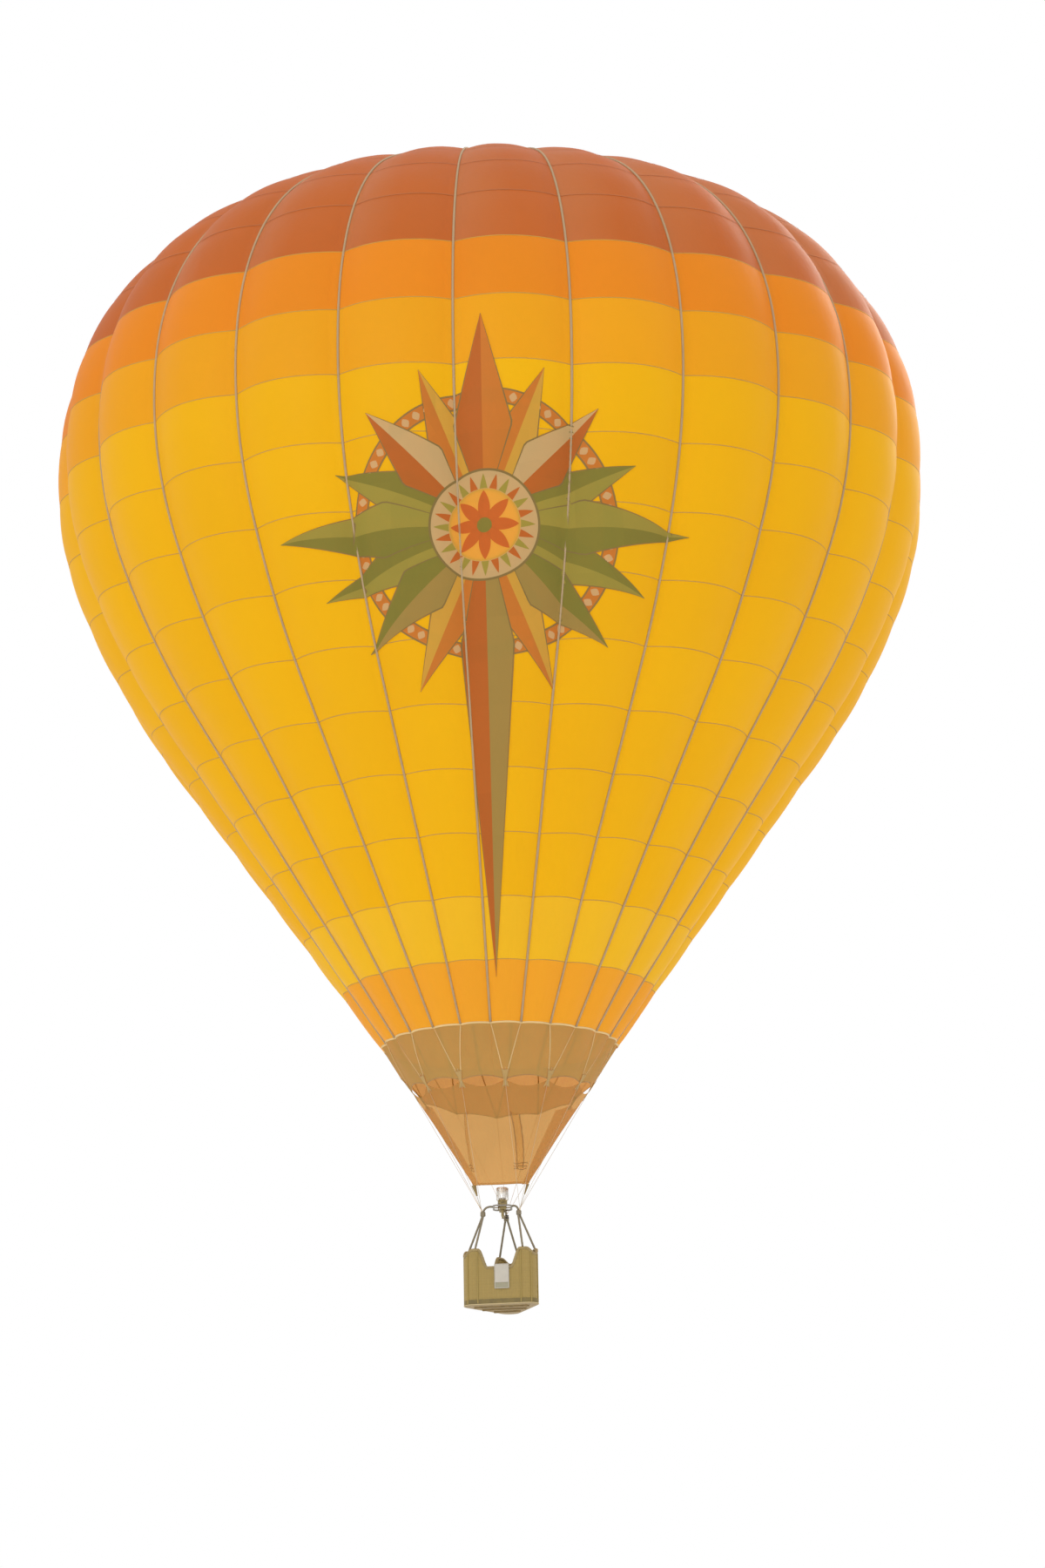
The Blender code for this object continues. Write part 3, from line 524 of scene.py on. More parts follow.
def throat_cloth(name, colour, glow, clear):
    """Flame-proof cloth, which shows what lies behind it against the light."""
    cloth = Finish(name, Roughness=0.55, Specular_IOR_Level=0.25)
    broad = cloth.noise(1.1)
    fine = cloth.noise(6.0, 4.0, 0.6)
    body = cloth.tint((broad * 0.6 + fine * 0.4).limited(), colour, 0.9, 1.1)
    height = cloth.noise(3.5, 5.0, 0.6)
    cloth.through(cloth.tint(broad, glow, 0.92, 1.08), 0.45, clear)
    return cloth.finished(body, 0.5 + fine * 0.15, height, 0.02, 0.4)


def webbing(name, colour):
    """Woven tape: a fine twill along its length."""
    tape = Finish(name, Roughness=0.7)
    across, lengthwise, _ = tape.parts(tape.chart())
    wear = tape.noise(2.0)
    ridges = (lengthwise * 300.0 + across * 40.0).sine()
    body = tape.tint(wear, colour, 0.85, 1.12)
    return tape.finished(body, 0.62 + wear * 0.2, ridges, 0.001, 0.5)


def metal(name, colour, roughness, streak=(2.0, 2.0, 40.0), stain=None):
    """Brushed or heat stained metal, with streaks along one way."""
    steel = Finish(name, Metallic=1.0, Roughness=roughness)
    streaks = steel.noise(6.0, 4.0, 0.6, steel.scaled(steel.place(), streak))
    body = steel.tint(streaks, colour, 0.85, 1.1)
    if stain:
        body = steel.blend(((steel.noise(7.0) - 0.45) * 4.0).limited(), body, stain)
    worn = roughness * 0.8 + streaks * roughness * 0.5
    return steel.finished(body, worn, streaks, 0.0008, 0.3)


def leather(name, colour):
    """Hide with a pebbled grain, rubbed lighter where the noise is high."""
    hide = Finish(name, Roughness=0.6, Coat_Weight=0.08)
    grain = hide.node("TexVoronoi", {}, Vector=hide.place(), Scale=140.0, out="Distance")
    wear = hide.noise(5.0, 4.0, 0.65)
    body = hide.tint(((wear - 0.3) * 1.8).limited(), colour, 0.7, 1.25)
    return hide.finished(body, 0.5 + wear * 0.25, grain, 0.0015, 0.6)


def timber(name, colour):
    """Oiled wood with its grain along the runners."""
    wood = Finish(name, Roughness=0.55)
    grain = wood.noise(2.0, 6.0, 0.65, wood.scaled(wood.place(), (1.5, 22.0, 22.0)))
    tone = grain * 0.75 + wood.noise(9.0, 4.0) * 0.25
    body = wood.ramp(tone, (0.3, shade(colour, 0.55)), (0.55, colour), (0.75, shade(colour, 1.3)))
    return wood.finished(body, 0.45 + grain * 0.3, grain, 0.002, 0.5)


STAKE_WIDTH, STAKE_DEPTH, WEAVER_TALL = 0.055, 0.0025, 0.011


def wickerwork(name, colour):
    """Woven cane: weavers that pass before and behind the stakes by turns, with painted shade in the gaps between
    weavers and where they pass behind. Its chart is in metres.
    """
    cane = Finish(name, Roughness=0.6)
    across, up, _ = cane.parts(cane.chart())
    level = (up / WEAVER_TALL).floor()
    before = (across * (math.pi / STAKE_WIDTH) + level * math.pi).sine()
    weaver = abs((up * (math.pi / WEAVER_TALL)).sine())
    tone = cane.node("TexWhiteNoise", {"noise_dimensions": "1D"}, W=level)
    patches = cane.noise(3.0, 4.0, 0.6)
    base = cane.tint((tone * 0.4 + patches * 0.6).limited(), colour, 0.85, 1.1)
    # Painted shade: darker in the gaps between weavers and where a weaver passes behind a stake.
    cane_painted_shade = cane.blend((0.75 - weaver * 0.7 + before * -0.15).limited(), base, shade(colour, 0.5))
    height = before * 0.5 + weaver * 0.8
    return cane.finished(cane_painted_shade, 0.5 + patches * 0.25, height, 0.003, 0.6)


def plain(name, colour, roughness, grain=40.0, depth=0.0006):
    """A dull painted or moulded finish with a fine grain and a little dirt."""
    paint = Finish(name, Roughness=roughness)
    dirt = paint.noise(4.0, 4.0, 0.6)
    body = paint.tint(dirt, colour, 0.85, 1.12)
    worn = roughness * 0.85 + dirt * roughness * 0.3
    return paint.finished(body, worn, paint.noise(grain), depth, 0.6)


def coat(data, material):
    data.materials.clear()
    data.materials.append(material)


def coat_nodes(material, *names):
    """Gives nodes of the solids a material. They show as they are."""
    for name in names:
        coat(nodes[name].data, material)


def dress(piece, material, slot, *replaced, body="balloon"):
    """Gives a piece its material and its body, and hides the nodes it stands for. Its slot is not used."""
    coat(piece.data, material)
    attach(piece, body)
    if replaced:
        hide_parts(*replaced)


# Camera, light and floor.
CAMERA_PITCH, CAMERA_YAW, CAMERA_ROLL = 15.2217, 0.3306, 1.0002
CAMERA_HEIGHT, CAMERA_AWAY = -16.70, 105.89
LENS, SENSOR = 110.0, 36.0
FLOOR_BELOW_CAMERA, FLOOR_SIZE = 0.4, 900
# Name, place, size, power, colour.
LIGHTS = (
    ("light_from_behind", (45, 60, 45), 40, 30000, (1.0, 0.95, 0.86)),
    ("light_in_front", (-40, -70, 10), 50, 9000, (1.0, 0.98, 0.95)),
)


def set_camera():
    lens = bpy.data.cameras.new("camera")
    lens.sensor_fit = "AUTO"
    lens.sensor_width = SENSOR
    lens.lens = LENS
    lens.clip_start, lens.clip_end = 1.0, 1000.0
    camera = bpy.data.objects.new("camera", lens)
    bpy.context.scene.collection.objects.link(camera)
    camera.location = at(0.0, -CAMERA_AWAY, CAMERA_HEIGHT)
    pitch, yaw = math.radians(CAMERA_PITCH), math.radians(CAMERA_YAW)
    aim = Vector((math.sin(yaw) * math.cos(pitch), math.cos(yaw) * math.cos(pitch), math.sin(pitch)))
    roll = Quaternion((0, 0, 1), -math.radians(CAMERA_ROLL))
    camera.rotation_mode = "QUATERNION"
    camera.rotation_quaternion = aim.to_track_quat("-Z", "Y") @ roll
    bpy.context.scene.camera = camera


def set_light():
    world = bpy.data.worlds.new("sky")
    bpy.context.scene.world = world
    world.use_nodes = True
    sky = world.node_tree.nodes["Background"]
    sky.inputs["Color"].default_value = (1.0, 1.0, 1.0, 1.0)
    sky.inputs["Strength"].default_value = 1.0
    bpy.context.scene.view_settings.view_transform = "Standard"
    for name, place, size, power, colour in LIGHTS:
        light = bpy.data.lights.new(name, "AREA")
        light.size = size
        light.energy = power
        light.color = colour
        lamp = bpy.data.objects.new(name, light)
        bpy.context.scene.collection.objects.link(lamp)
        lamp.location = place
        lamp.rotation_euler = (-Vector(place)).to_track_quat("-Z", "Y").to_euler()


def set_floor():
    pick()
    bpy.ops.mesh.primitive_plane_add(size=FLOOR_SIZE, location=at(0, 0, CAMERA_HEIGHT - FLOOR_BELOW_CAMERA))
    floor = named("floor")
    bpy.ops.object.transform_apply(location=True, rotation=True, scale=True)
    coat(floor.data, Finish("floor_pale", Roughness=0.9, Base_Color=(0.86, 0.86, 0.85, 1.0)).material)


# Envelope. Bands: piece, node it stands for, lowest row, highest row, colour, slot.
BANDS = (
    ("cloth_lower_orange", "lower_orange_band", 1, 2, LOWER_ORANGE, "orange_cloth"),
    ("cloth_lower_amber", "lower_amber_band", 2, 3, LOWER_AMBER, "amber_cloth"),
    ("cloth_yellow_1", "yellow_band_1", 3, 5, YELLOW, "yellow_cloth"),
    ("cloth_yellow_2", "yellow_band_2", 5, 7, YELLOW, "yellow_cloth"),
    ("cloth_yellow_3", "yellow_band_3", 7, 9, YELLOW, "yellow_cloth"),
    ("cloth_yellow_4", "yellow_band_4", 9, 11, YELLOW, "yellow_cloth"),
    ("cloth_upper_amber", "upper_amber_band", 11, 12, AMBER, "amber_cloth"),
    ("cloth_upper_orange", "upper_orange_band", 12, 13, ORANGE, "orange_cloth"),
)
COLUMNS = GORES * 12
CROWN_EDGE = crown_slant(VENT_OPENING)
TAPE_PROUD, TAPE_WIDTH, TAPE_STEPS = 0.037, 0.029, 110
THROAT_TAPE_WIDTH = 0.024
SEAM_WIDTH, LAST_SEAM_ROW = 0.022, 16
# Cut cloth is this much wider than it shows, for its seams.
SEAM_ALLOWANCE = 1.02


def round_azimuth(u):
    return TAPE_AZIMUTH + 360 * u


def ring_of_cloth(name, low, high, rings):
    """A band of the envelope between two slants."""

    def place(u, v):
        slant, azimuth = mix(low, high, v), round_azimuth(u)
        return cloth_point(slant, azimuth, pucker(slant, azimuth))

    return grid_sheet(name, COLUMNS, rings, place, lambda u, v: (u * GORES, mix(low, high, v) / ROW), True)


def ring_strip(name, middle, width, proud, thickness=0.0015):
    """A seam or hem round the envelope, along a slant."""

    def place(u, v):
        slant, azimuth = middle + (v - 0.5) * width, round_azimuth(u)
        return cloth_point(slant, azimuth, pucker(slant, azimuth) - proud)

    return thicken(grid_sheet(name, COLUMNS, 2, place, lambda u, v: (v, u * 60), True), thickness)


def build_envelope():
    """All the cloth from the throat to the crown. Gives the crown's material, which the vent has too."""
    cloths = {}
    for name, node, low, high, colour, slot in BANDS:
        if colour not in cloths:
            cloths[colour] = envelope_cloth(name, colour)
        dress(ring_of_cloth(name, low * ROW, high * ROW, 2 + 6 * (high - low)), cloths[colour], slot, node)
    crown = ring_of_cloth("cloth_crown", CROWN_FROM_ROW * ROW, CROWN_EDGE, 48)
    terracotta = envelope_cloth("terracotta_cloth", TERRACOTTA, PAINTED_SHEEN_TERRACOTTA)
    dress(crown, terracotta, "terracotta_cloth", "crown_panel")
    throat = grid_sheet("cloth_throat", COLUMNS, 12, lambda u, v: throat_point(v, round_azimuth(u)),
                        lambda u, v: (u * GORES, v), True)
    dress(throat, throat_cloth("throat_cloth", THROAT, THROAT_GLOW, 0.16), "throat_cloth", "throat_panel")
    return terracotta


def load_tape(gore):
    """A tape sewn on along the seam between two gores."""
    low, high = ROW + 0.02, crown_slant(VENT_OPENING + 0.12)
    azimuth = TAPE_AZIMUTH + gore * GORE

    def place(u, v):
        slant = mix(low, high, v)
        turn = math.degrees((u - 0.5) * TAPE_WIDTH / profile(slant)[0])
        return cloth_point(slant, azimuth + turn, -TAPE_PROUD)

    strip = grid_sheet(f"tape_{gore}", 2, TAPE_STEPS, place, lambda u, v: (u, mix(low, high, v)))
    return thicken(strip, TAPE_PROUD)


def throat_tape(join, side):
    """A tape of the throat, from a wire's join at the hem to the end of a load tape at its top."""

    def place(u, v):
        across = math.degrees((u - 0.5) * THROAT_TAPE_WIDTH / profile(v * ROW)[0])
        return throat_point(v, mix(join, join + side * GORE, v ** 0.8) + across, 0.004)

    return thicken(grid_sheet(f"throat_tape_{join}_{side}", 2, 16, place, lambda u, v: (u, v * ROW)), 0.0015)


def build_tapes():
    strips = [load_tape(gore) for gore in range(GORES)]
    dress(joined("load_tapes", strips), webbing("tape_webbing", (0.50, 0.35, 0.19)), "webbing")
    strips = [throat_tape(azimuth, side) for azimuth in WIRE_JOINS for side in (-0.5, 0.5)]
    dress(joined("throat_tapes", strips), webbing("throat_seam", (0.66, 0.46, 0.20)), "webbing")


def declare_low_cloths():
    """Works out the flat size that the throat and the two bands over it were cut to, and does nothing more with it.
    The others are wider than a sheet may be.
    """
    for name, top in (("cloth_throat", 1), ("cloth_lower_orange", 2), ("cloth_lower_amber", 3)):
        flat = (2 * math.pi * profile(top * ROW)[0], ROW * SEAM_ALLOWANCE)


def build_seams():
    # Piece, first row, last row, how proud, material, slot.
    for name, first, last, proud, material, slot in (
        ("row_seams", 2, CROWN_FROM_ROW, 0.003, webbing("row_seam", (0.60, 0.33, 0.045)), "yellow_cloth"),
        ("crown_seams", CROWN_FROM_ROW + 1, LAST_SEAM_ROW, 0.014, webbing("crown_seam", (0.50, 0.165, 0.045)),
         "terracotta_cloth"),
    ):
        strips = [ring_strip(f"{name}_{row}", row * ROW, SEAM_WIDTH, proud) for row in range(first, last + 1)]
        dress(joined(name, strips), material, slot)
    vent_hem = ring_strip("vent_hem", CROWN_EDGE - 0.05, 0.13, 0.020, 0.004)
    dress(vent_hem, webbing("vent_hem", (0.46, 0.24, 0.11)), "webbing")
    piping = ring_strip("throat_piping", ROW, 0.045, 0.008, 0.006)
    dress(piping, webbing("piping_cloth", (0.80, 0.56, 0.24)), "throat_cloth")
    hem = grid_sheet("throat_hem", COLUMNS, 1, lambda u, v: throat_point(v * 0.018, round_azimuth(u), 0.003),
                     lambda u, v: (v, u * 12), True)
    dress(thicken(hem, 0.004), webbing("throat_hem", (0.42, 0.24, 0.08)), "throat_cloth")


# The sewn star. Its patches lie over each other in layers, from 0 to 9.
STAR_SLANT, STAR_AZIMUTH = 12.9, -1.0
STAR_HUB, STAR_DISC, STAR_TEETH, STAR_PETALS, STAR_BEADS = 1.15, 0.78, 24, 8, 64
STAR_RING = (2.62, 2.88)
BEAD_TURN, PETAL_LENGTH, PETAL_WIDTH = 0.032, 0.74, 0.13
STAR_EDGE = 0.035
PATCH_BASE, PATCH_LIFT = 0.006, 0.0024
DEEP_ORANGE, WARM_ORANGE, GOLD, CREAM = (0.72, 0.20, 0.03), (0.86, 0.29, 0.04), (0.92, 0.52, 0.07), (0.86, 0.58, 0.25)
OLIVE, DARK_OLIVE, STONE, DARK_STONE = (0.52, 0.42, 0.07), (0.36, 0.31, 0.05), (0.56, 0.37, 0.09), (0.38, 0.26, 0.08)
# Rays: turn from straight up in degrees, length, half width, colours of the two halves.
STAR_RAYS = (
    (0, 4.55, 0.62, WARM_ORANGE, DEEP_ORANGE),
    (22, 3.60, 0.46, GOLD, WARM_ORANGE), (-22, 3.60, 0.46, GOLD, WARM_ORANGE),
    (45, 3.55, 0.55, DEEP_ORANGE, CREAM), (-45, 3.55, 0.55, CREAM, DEEP_ORANGE),
    (68, 3.55, 0.50, OLIVE, DARK_OLIVE), (-68, 3.55, 0.50, DARK_OLIVE, OLIVE),
    (90, 4.60, 0.58, DARK_OLIVE, OLIVE), (-90, 4.60, 0.58, OLIVE, DARK_OLIVE),
    (112, 3.80, 0.50, OLIVE, DARK_OLIVE), (-112, 3.80, 0.50, DARK_OLIVE, OLIVE),
    (135, 3.70, 0.55, STONE, DARK_OLIVE), (-135, 3.70, 0.55, DARK_OLIVE, STONE),
    (158, 3.90, 0.44, WARM_ORANGE, GOLD), (-158, 3.90, 0.44, GOLD, WARM_ORANGE),
    (180, 10.30, 0.56, DEEP_ORANGE, STONE),
)


def turned(reach, across, angle):
    """A flat point at a reach along an angle from straight up, and beside it."""
    sine, cosine = math.sin(angle), math.cos(angle)
    return reach * sine + across * cosine, reach * cosine - across * sine


def star_point(x, up, layer):
    """A point over the cloth, x metres round and so far up from the star's middle, on one of its layers."""
    slant = STAR_SLANT + up
    azimuth = STAR_AZIMUTH + math.degrees(x / profile(slant)[0])
    return cloth_point(slant, azimuth, pucker(slant, azimuth) - PATCH_BASE - PATCH_LIFT * layer)


def patch(name, columns, rows, flat_at, layer, join_edges=False):
    """A patch of the star. Its flat shape is given by flat_at(u, v)."""
    middle, beside, above = (Vector((*flat_at(u, v), 0)) for u, v in ((0.5, 0.5), (0.51, 0.5), (0.5, 0.51)))
    flip = (beside - middle).cross(above - middle).z < 0

    def place(u, v):
        return star_point(*flat_at(1 - u if flip else u, v), layer)

    return grid_sheet(name, columns, rows, place, flat_at, join_edges)


def ray_half(angle, length, half_width, side):
    """Half of a kite that stands on the hub, with v along the ray and u from its ridge to its edge."""
    shoulder = 0.30 if length < 6 else 0.16

    def flat_at(u, v):
        reach = mix(STAR_HUB * 0.96, length, v)
        width = half_width * (mix(0.45, 1.0, v / shoulder) if v < shoulder else (1 - v) / (1 - shoulder))
        return turned(reach, side * u * max(width, 0.006), math.radians(angle))

    return flat_at


def round_patch(inner, outer):
    return lambda u, v: turned(mix(inner, outer, v), 0, mix(0.0, 2 * math.pi, u))


def bead(number):
    middle = 2 * math.pi * (number + 0.5) / STAR_BEADS

    def flat_at(u, v):
        angle = middle + BEAD_TURN * (2 * u - 1) * math.sin(math.pi * clamp(v, 0.04, 0.96))
        return turned(mix(STAR_RING[0] + 0.03, STAR_RING[1] - 0.03, v), 0, angle)

    return flat_at


def tooth(number):
    middle = 2 * math.pi * number / STAR_TEETH
    half = math.pi / STAR_TEETH * 0.8
    return lambda u, v: turned(mix(STAR_DISC, STAR_HUB - 0.06, v), 0, middle + half * (2 * u - 1) * (1 - v * 0.98))


def petal(number):
    angle = 2 * math.pi * number / STAR_PETALS
    return lambda u, v: turned(PETAL_LENGTH * v, PETAL_WIDTH * math.sin(math.pi * v) ** 0.8 * (2 * u - 1), angle)


def build_star():
    """A compass rose of sewn patches: rays, a ring of beads, and a hub with teeth and petals."""
    patches = {}

    def keep(colour, *shape):
        patches.setdefault(colour, []).append(patch(*shape))

    for angle, length, half_width, right, left in STAR_RAYS:
        rows = round(length * 7)
        layer = 4 if angle % 45 == 0 else 2
        for side, colour in ((1, right), (-1, left)):
            keep(colour, f"ray_{angle}_{side}", 14, rows, ray_half(angle, length, half_width, side), layer + 1)
            edge = ray_half(angle, length + 0.02, half_width + STAR_EDGE, side)
            keep(DARK_STONE, f"edging_{angle}_{side}", 14, rows, edge, layer)
    keep(DARK_STONE, "ring_edge", 360, 8, round_patch(STAR_RING[0] - 0.04, STAR_RING[1] + 0.04), 0, True)
    keep(WARM_ORANGE, "ring", 360, 6, round_patch(*STAR_RING), 1, True)
    for number in range(STAR_BEADS):
        keep(CREAM, f"bead_{number}", 3, 4, bead(number), 2)
    keep(DARK_STONE, "hub_edge", 144, 10, round_patch(STAR_DISC - 0.05, STAR_HUB + 0.05), 6, True)
    keep(CREAM, "hub_ring", 144, 10, round_patch(STAR_DISC - 0.01, STAR_HUB), 7, True)
    for number in range(STAR_TEETH):
        keep(DEEP_ORANGE if number % 2 else OLIVE, f"tooth_{number}", 3, 5, tooth(number), 8)
    keep(GOLD, "disc", 120, 14, round_patch(0.0, STAR_DISC), 7, True)
    for number in range(STAR_PETALS):
        keep(DEEP_ORANGE, f"petal_{number}", 5, 14, petal(number), 8)
    keep(DARK_OLIVE, "boss", 48, 5, round_patch(0.0, 0.16), 9, True)
    for number, (colour, pieces) in enumerate(patches.items()):
        dress(joined(f"star_{number}", pieces), envelope_cloth(f"star_cloth_{number}", colour), "yellow_cloth")


def build_crown(terracotta):
    """The vent's disc under the crown's tapes, drawn a little down between them."""

    def disc(u, v):
        radius = mix(0.0, VENT_OPENING + VENT_LAP - 0.01, v)
        across = (u * GORES) % 1
        billow = VENT_BILLOW * (1 - (2 * across - 1) ** 2)
        billow *= clamp(radius / VENT_OPENING) * clamp((VENT_OPENING - radius) / 0.4)
        return cloth_point(crown_slant(radius), round_azimuth(u), CLOTH + GAP + 0.004 - billow)

    vent = grid_sheet("vent_disc", GORES * 6, 22, disc, lambda u, v: (u * GORES, v * 2 + 17), True)
    dress(vent, terracotta, "terracotta_cloth", "parachute_vent", body="vent")
    coat_nodes(plain("crown_webbing", (0.42, 0.36, 0.28), 0.75), "crown_tapes")
    coat_nodes(metal("ring_metal", (0.62, 0.62, 0.62), 0.35), "crown_ring")


# Scoop and wires.
SCOOP_EDGES = (-124.5, 138.0)
SCOOP_PANELS = (("scoop_left", -124.5, -57.0), ("scoop_front", -57.0, 33.0), ("scoop_right", 33.0, 138.0))
# The dips of the scoop's top edge, out of its reach from the mouth to the wires' ends.
SCOOP_DIP, SCOOP_EDGE_DIP, SCOOP_REACH = 0.14, 0.03, 2.9
# Dips that are deeper: first and last azimuth, times deeper.
SCOOP_SAGS = ((-117, -87, 2.0), (-87, -57, 1.5), (93, 123, 2.0))
SCOOP_TOP_INSET, SCOOP_HEM_INSET, SCOOP_HEM, SCOOP_HEM_RISE = 0.003, 0.152, 0.79, 0.05
SCOOP_HOLLOW, SCOOP_RIPPLE = 0.030, 0.020
# Creased straps down the scoop: azimuth at the top and at the foot, width at the top and at the foot, bulge.
SCOOP_STRAPS = ((-28.5, -46.0, 0.08, 0.07, 0.018), (9.0, 20.5, 0.21, 0.24, 0.030))
STRAP_SPAN, STRAP_TUCKS = (0.30, 0.85), (0.80, 0.83, 0.86)
STRAP_RUFFLE, STRAP_WANDER, STRAP_TUCK = 0.12, 1.2, 0.008
SCOOP_RADII = (1.9, 0.7)
JOIN_PATCH = 0.055
# Ties at the ends of the hem: azimuth and thickness.
HEM_TIES = {"left": (-80.0, 0.050), "right": (84.0, 0.030)}


def shoulder(corner):
    return over(direction(CORNER_AZIMUTHS[corner]) * SHOULDER_RADIUS, SHOULDER_HEIGHT)


def wire_end(corner):
    out = direction(CORNER_AZIMUTHS[corner]) * KARABINER_OUT
    return shoulder(corner) + out + Vector((0, 0, SOCKET_TALL / 2 + GAP + KARABINER_TALL * 0.6))


def wire_corner(azimuth):
    """Where the skirt at an azimuth is drawn to: the end of its wires, or a place between two such ends."""
    stops = []
    for corner, azimuths in WIRE_AZIMUTHS.items():
        stops.append((azimuths[0], wire_end(corner)))
        stops.append((azimuths[-1], wire_end(corner)))
    stops.append((stops[0][0] + 360, stops[0][1]))
    azimuth = stops[0][0] + (azimuth - stops[0][0]) % 360
    for (start, here), (end, there) in zip(stops, stops[1:]):
        if start <= azimuth <= end:
            return here.lerp(there, (azimuth - start) / (end - start))
    return stops[0][1]


def skirt_point(azimuth, share, inset):
    end = wire_end("right") if azimuth > WIRE_AZIMUTHS["right"][-1] else wire_corner(azimuth)
    point = mouth_point(hem_slant(azimuth), azimuth).lerp(end, share)
    return point - outward(point) * inset


def scoop_dip(azimuth):
    for edge, wire in zip(SCOOP_EDGES, (WIRE_AZIMUTHS["left"][0], WIRE_AZIMUTHS["back"][0])):
        across = max((azimuth - edge) / (wire - edge), 0.0)
        if across < 1:
            return SCOOP_EDGE_DIP * (1 - (2 * across - 1) ** 2)
    sag = 1.0
    for first, last, deeper in SCOOP_SAGS:
        if first < azimuth < last:
            sag = deeper
    return SCOOP_DIP * sag * wire_arch(azimuth)


def scoop_cloth_point(azimuth, share, proud=0.0):
    """A point of the scoop. It hollows a little between wires, and ripples more towards its hem."""
    hem = SCOOP_HEM * (1 - SCOOP_HEM_RISE * clamp((abs(azimuth) - 85) / 25))
    share = mix(scoop_dip(azimuth) / SCOOP_REACH, hem, share / SCOOP_HEM)
    down = share / SCOOP_HEM
    inset = mix(SCOOP_TOP_INSET, SCOOP_HEM_INSET, down) - proud
    hollow = SCOOP_HOLLOW * wire_arch(azimuth) * math.sin(math.pi * clamp(down))
    ripple = noise.noise(Vector((azimuth * 0.16, share * 1.5, 9.0))) * SCOOP_RIPPLE * clamp(down * 2)
    return skirt_point(azimuth, share, inset + hollow + abs(ripple))


def scoop_strap(top, foot, top_width, low_width, bulge):
    """A creased strap, with dark strips along its seams and across its tucks: real seams, darkened as painted shade
    in the creases, and painted shadow in the folds of the tucks.
    """

    def place(u, v):
        down = mix(STRAP_SPAN[1], STRAP_SPAN[0], v)
        width = mix(top_width, low_width, down) * (1 + STRAP_RUFFLE * noise.noise(Vector((down * 16, top, 1.0))))
        turn = math.degrees((u - 0.5) * width / mix(*SCOOP_RADII, down))
        turn += STRAP_WANDER * noise.noise(Vector((down * 9, top, 4.0)))
        tuck = STRAP_TUCK * math.sin(down * 60 + 2 * u) * clamp(down * 2 - 1)
        proud = 0.006 + (bulge + tuck) * math.sin(math.pi * u)
        return scoop_cloth_point(mix(foot, top, v) + turn, down * SCOOP_HEM, proud)

    strap = grid_sheet(f"strap_{top}", 8, 60, place, lambda u, v: (u, v))
    strips = []
    # Dark strips along both edges are the pocket's seams, darkened as painted shade in the creases.
    for side in (0, 1):

        def seam_place(u, v, side=side):
            return place(side, v).lerp(place(1 - side, v), (u - 0.5) * 0.14) + Vector((0, -0.004, 0))

        strips.append(grid_sheet(f"strap_seam_{top}_{side}", 1, 60, seam_place))
    # Dark strips across the tucks are painted shadow in their folds.
    for down in STRAP_TUCKS:

        def tuck_place(u, v, down=down):
            lift = down + 0.006 * math.sin(7 * u + 40 * down) + 0.008 * (v - 0.5)
            turn = math.degrees((u - 0.5) * low_width * 2.1 / 0.9)
            return scoop_cloth_point(foot + turn, lift * SCOOP_HEM, 0.010)

        strips.append(grid_sheet(f"tuck_{top}_{down}", 14, 1, tuck_place))
    return strap, [thicken(strip, 0.002) for strip in strips]


def join_patch(azimuth):
    """A patch over a wire's join, half on the scoop and half on the throat."""

    def place(u, v):
        turn = math.degrees((u - 0.5) * 2 * JOIN_PATCH * (0.6 + 0.9 * abs(2 * v - 1)) / SCOOP_RADII[0])
        if v < 0.5:
            return scoop_cloth_point(azimuth + turn, (0.5 - v) * 0.09, 0.008)
        return throat_point((v - 0.5) * 0.34, azimuth + turn, 0.014)

    return thicken(grid_sheet(f"join_{azimuth}", 4, 10, place), 0.006)


def hem_tie(corner, azimuth, thick):
    """A knotted end of cloth and the thin line that holds it to the wires' end."""
    hem = scoop_cloth_point(azimuth, SCOOP_HEM)
    end = wire_end(corner)
    knot = hem.lerp(end, 0.42)
    line = smooth_path([hem, hem.lerp(knot, 0.5), knot], 6)
    return [tube(f"tie_{corner}", line, lambda share: thick * (1 - 0.75 * share) + 0.004, 8),
            tube(f"tie_line_{corner}", [knot, knot.lerp(end, 0.5), end], 0.005, 6)]


def build_scoop_fittings():
    sleeves, seams = [], []
    for strap in SCOOP_STRAPS:
        sleeve, strips = scoop_strap(*strap)
        sleeves.append(sleeve)
        seams += strips
    straps = joined("scoop_straps", sleeves)
    dress(straps, throat_cloth("strap_cloth", (0.5, 0.45, 0.22), (1.0, 0.88, 0.70), 0.84), "throat_cloth")
    # The straps' dark strips: real seams, with painted shade in the creases along them and in the tucks.
    dress(joined("strap_seams_and_crease_shade", seams), plain("strap_seam_and_crease_shade", (0.34, 0.18, 0.05), 0.8), "throat_cloth")
    patches = [join_patch(azimuth) for azimuth in WIRE_JOINS if SCOOP_EDGES[0] < azimuth < SCOOP_EDGES[1]]
    dress(joined("join_patches", patches), plain("join_cloth", (0.46, 0.29, 0.10), 0.8), "throat_cloth")
    ties = [piece for corner, tie in HEM_TIES.items() for piece in hem_tie(corner, *tie)]
    dress(joined("hem_ties", ties), webbing("tie_cloth", (0.30, 0.22, 0.09)), "webbing")


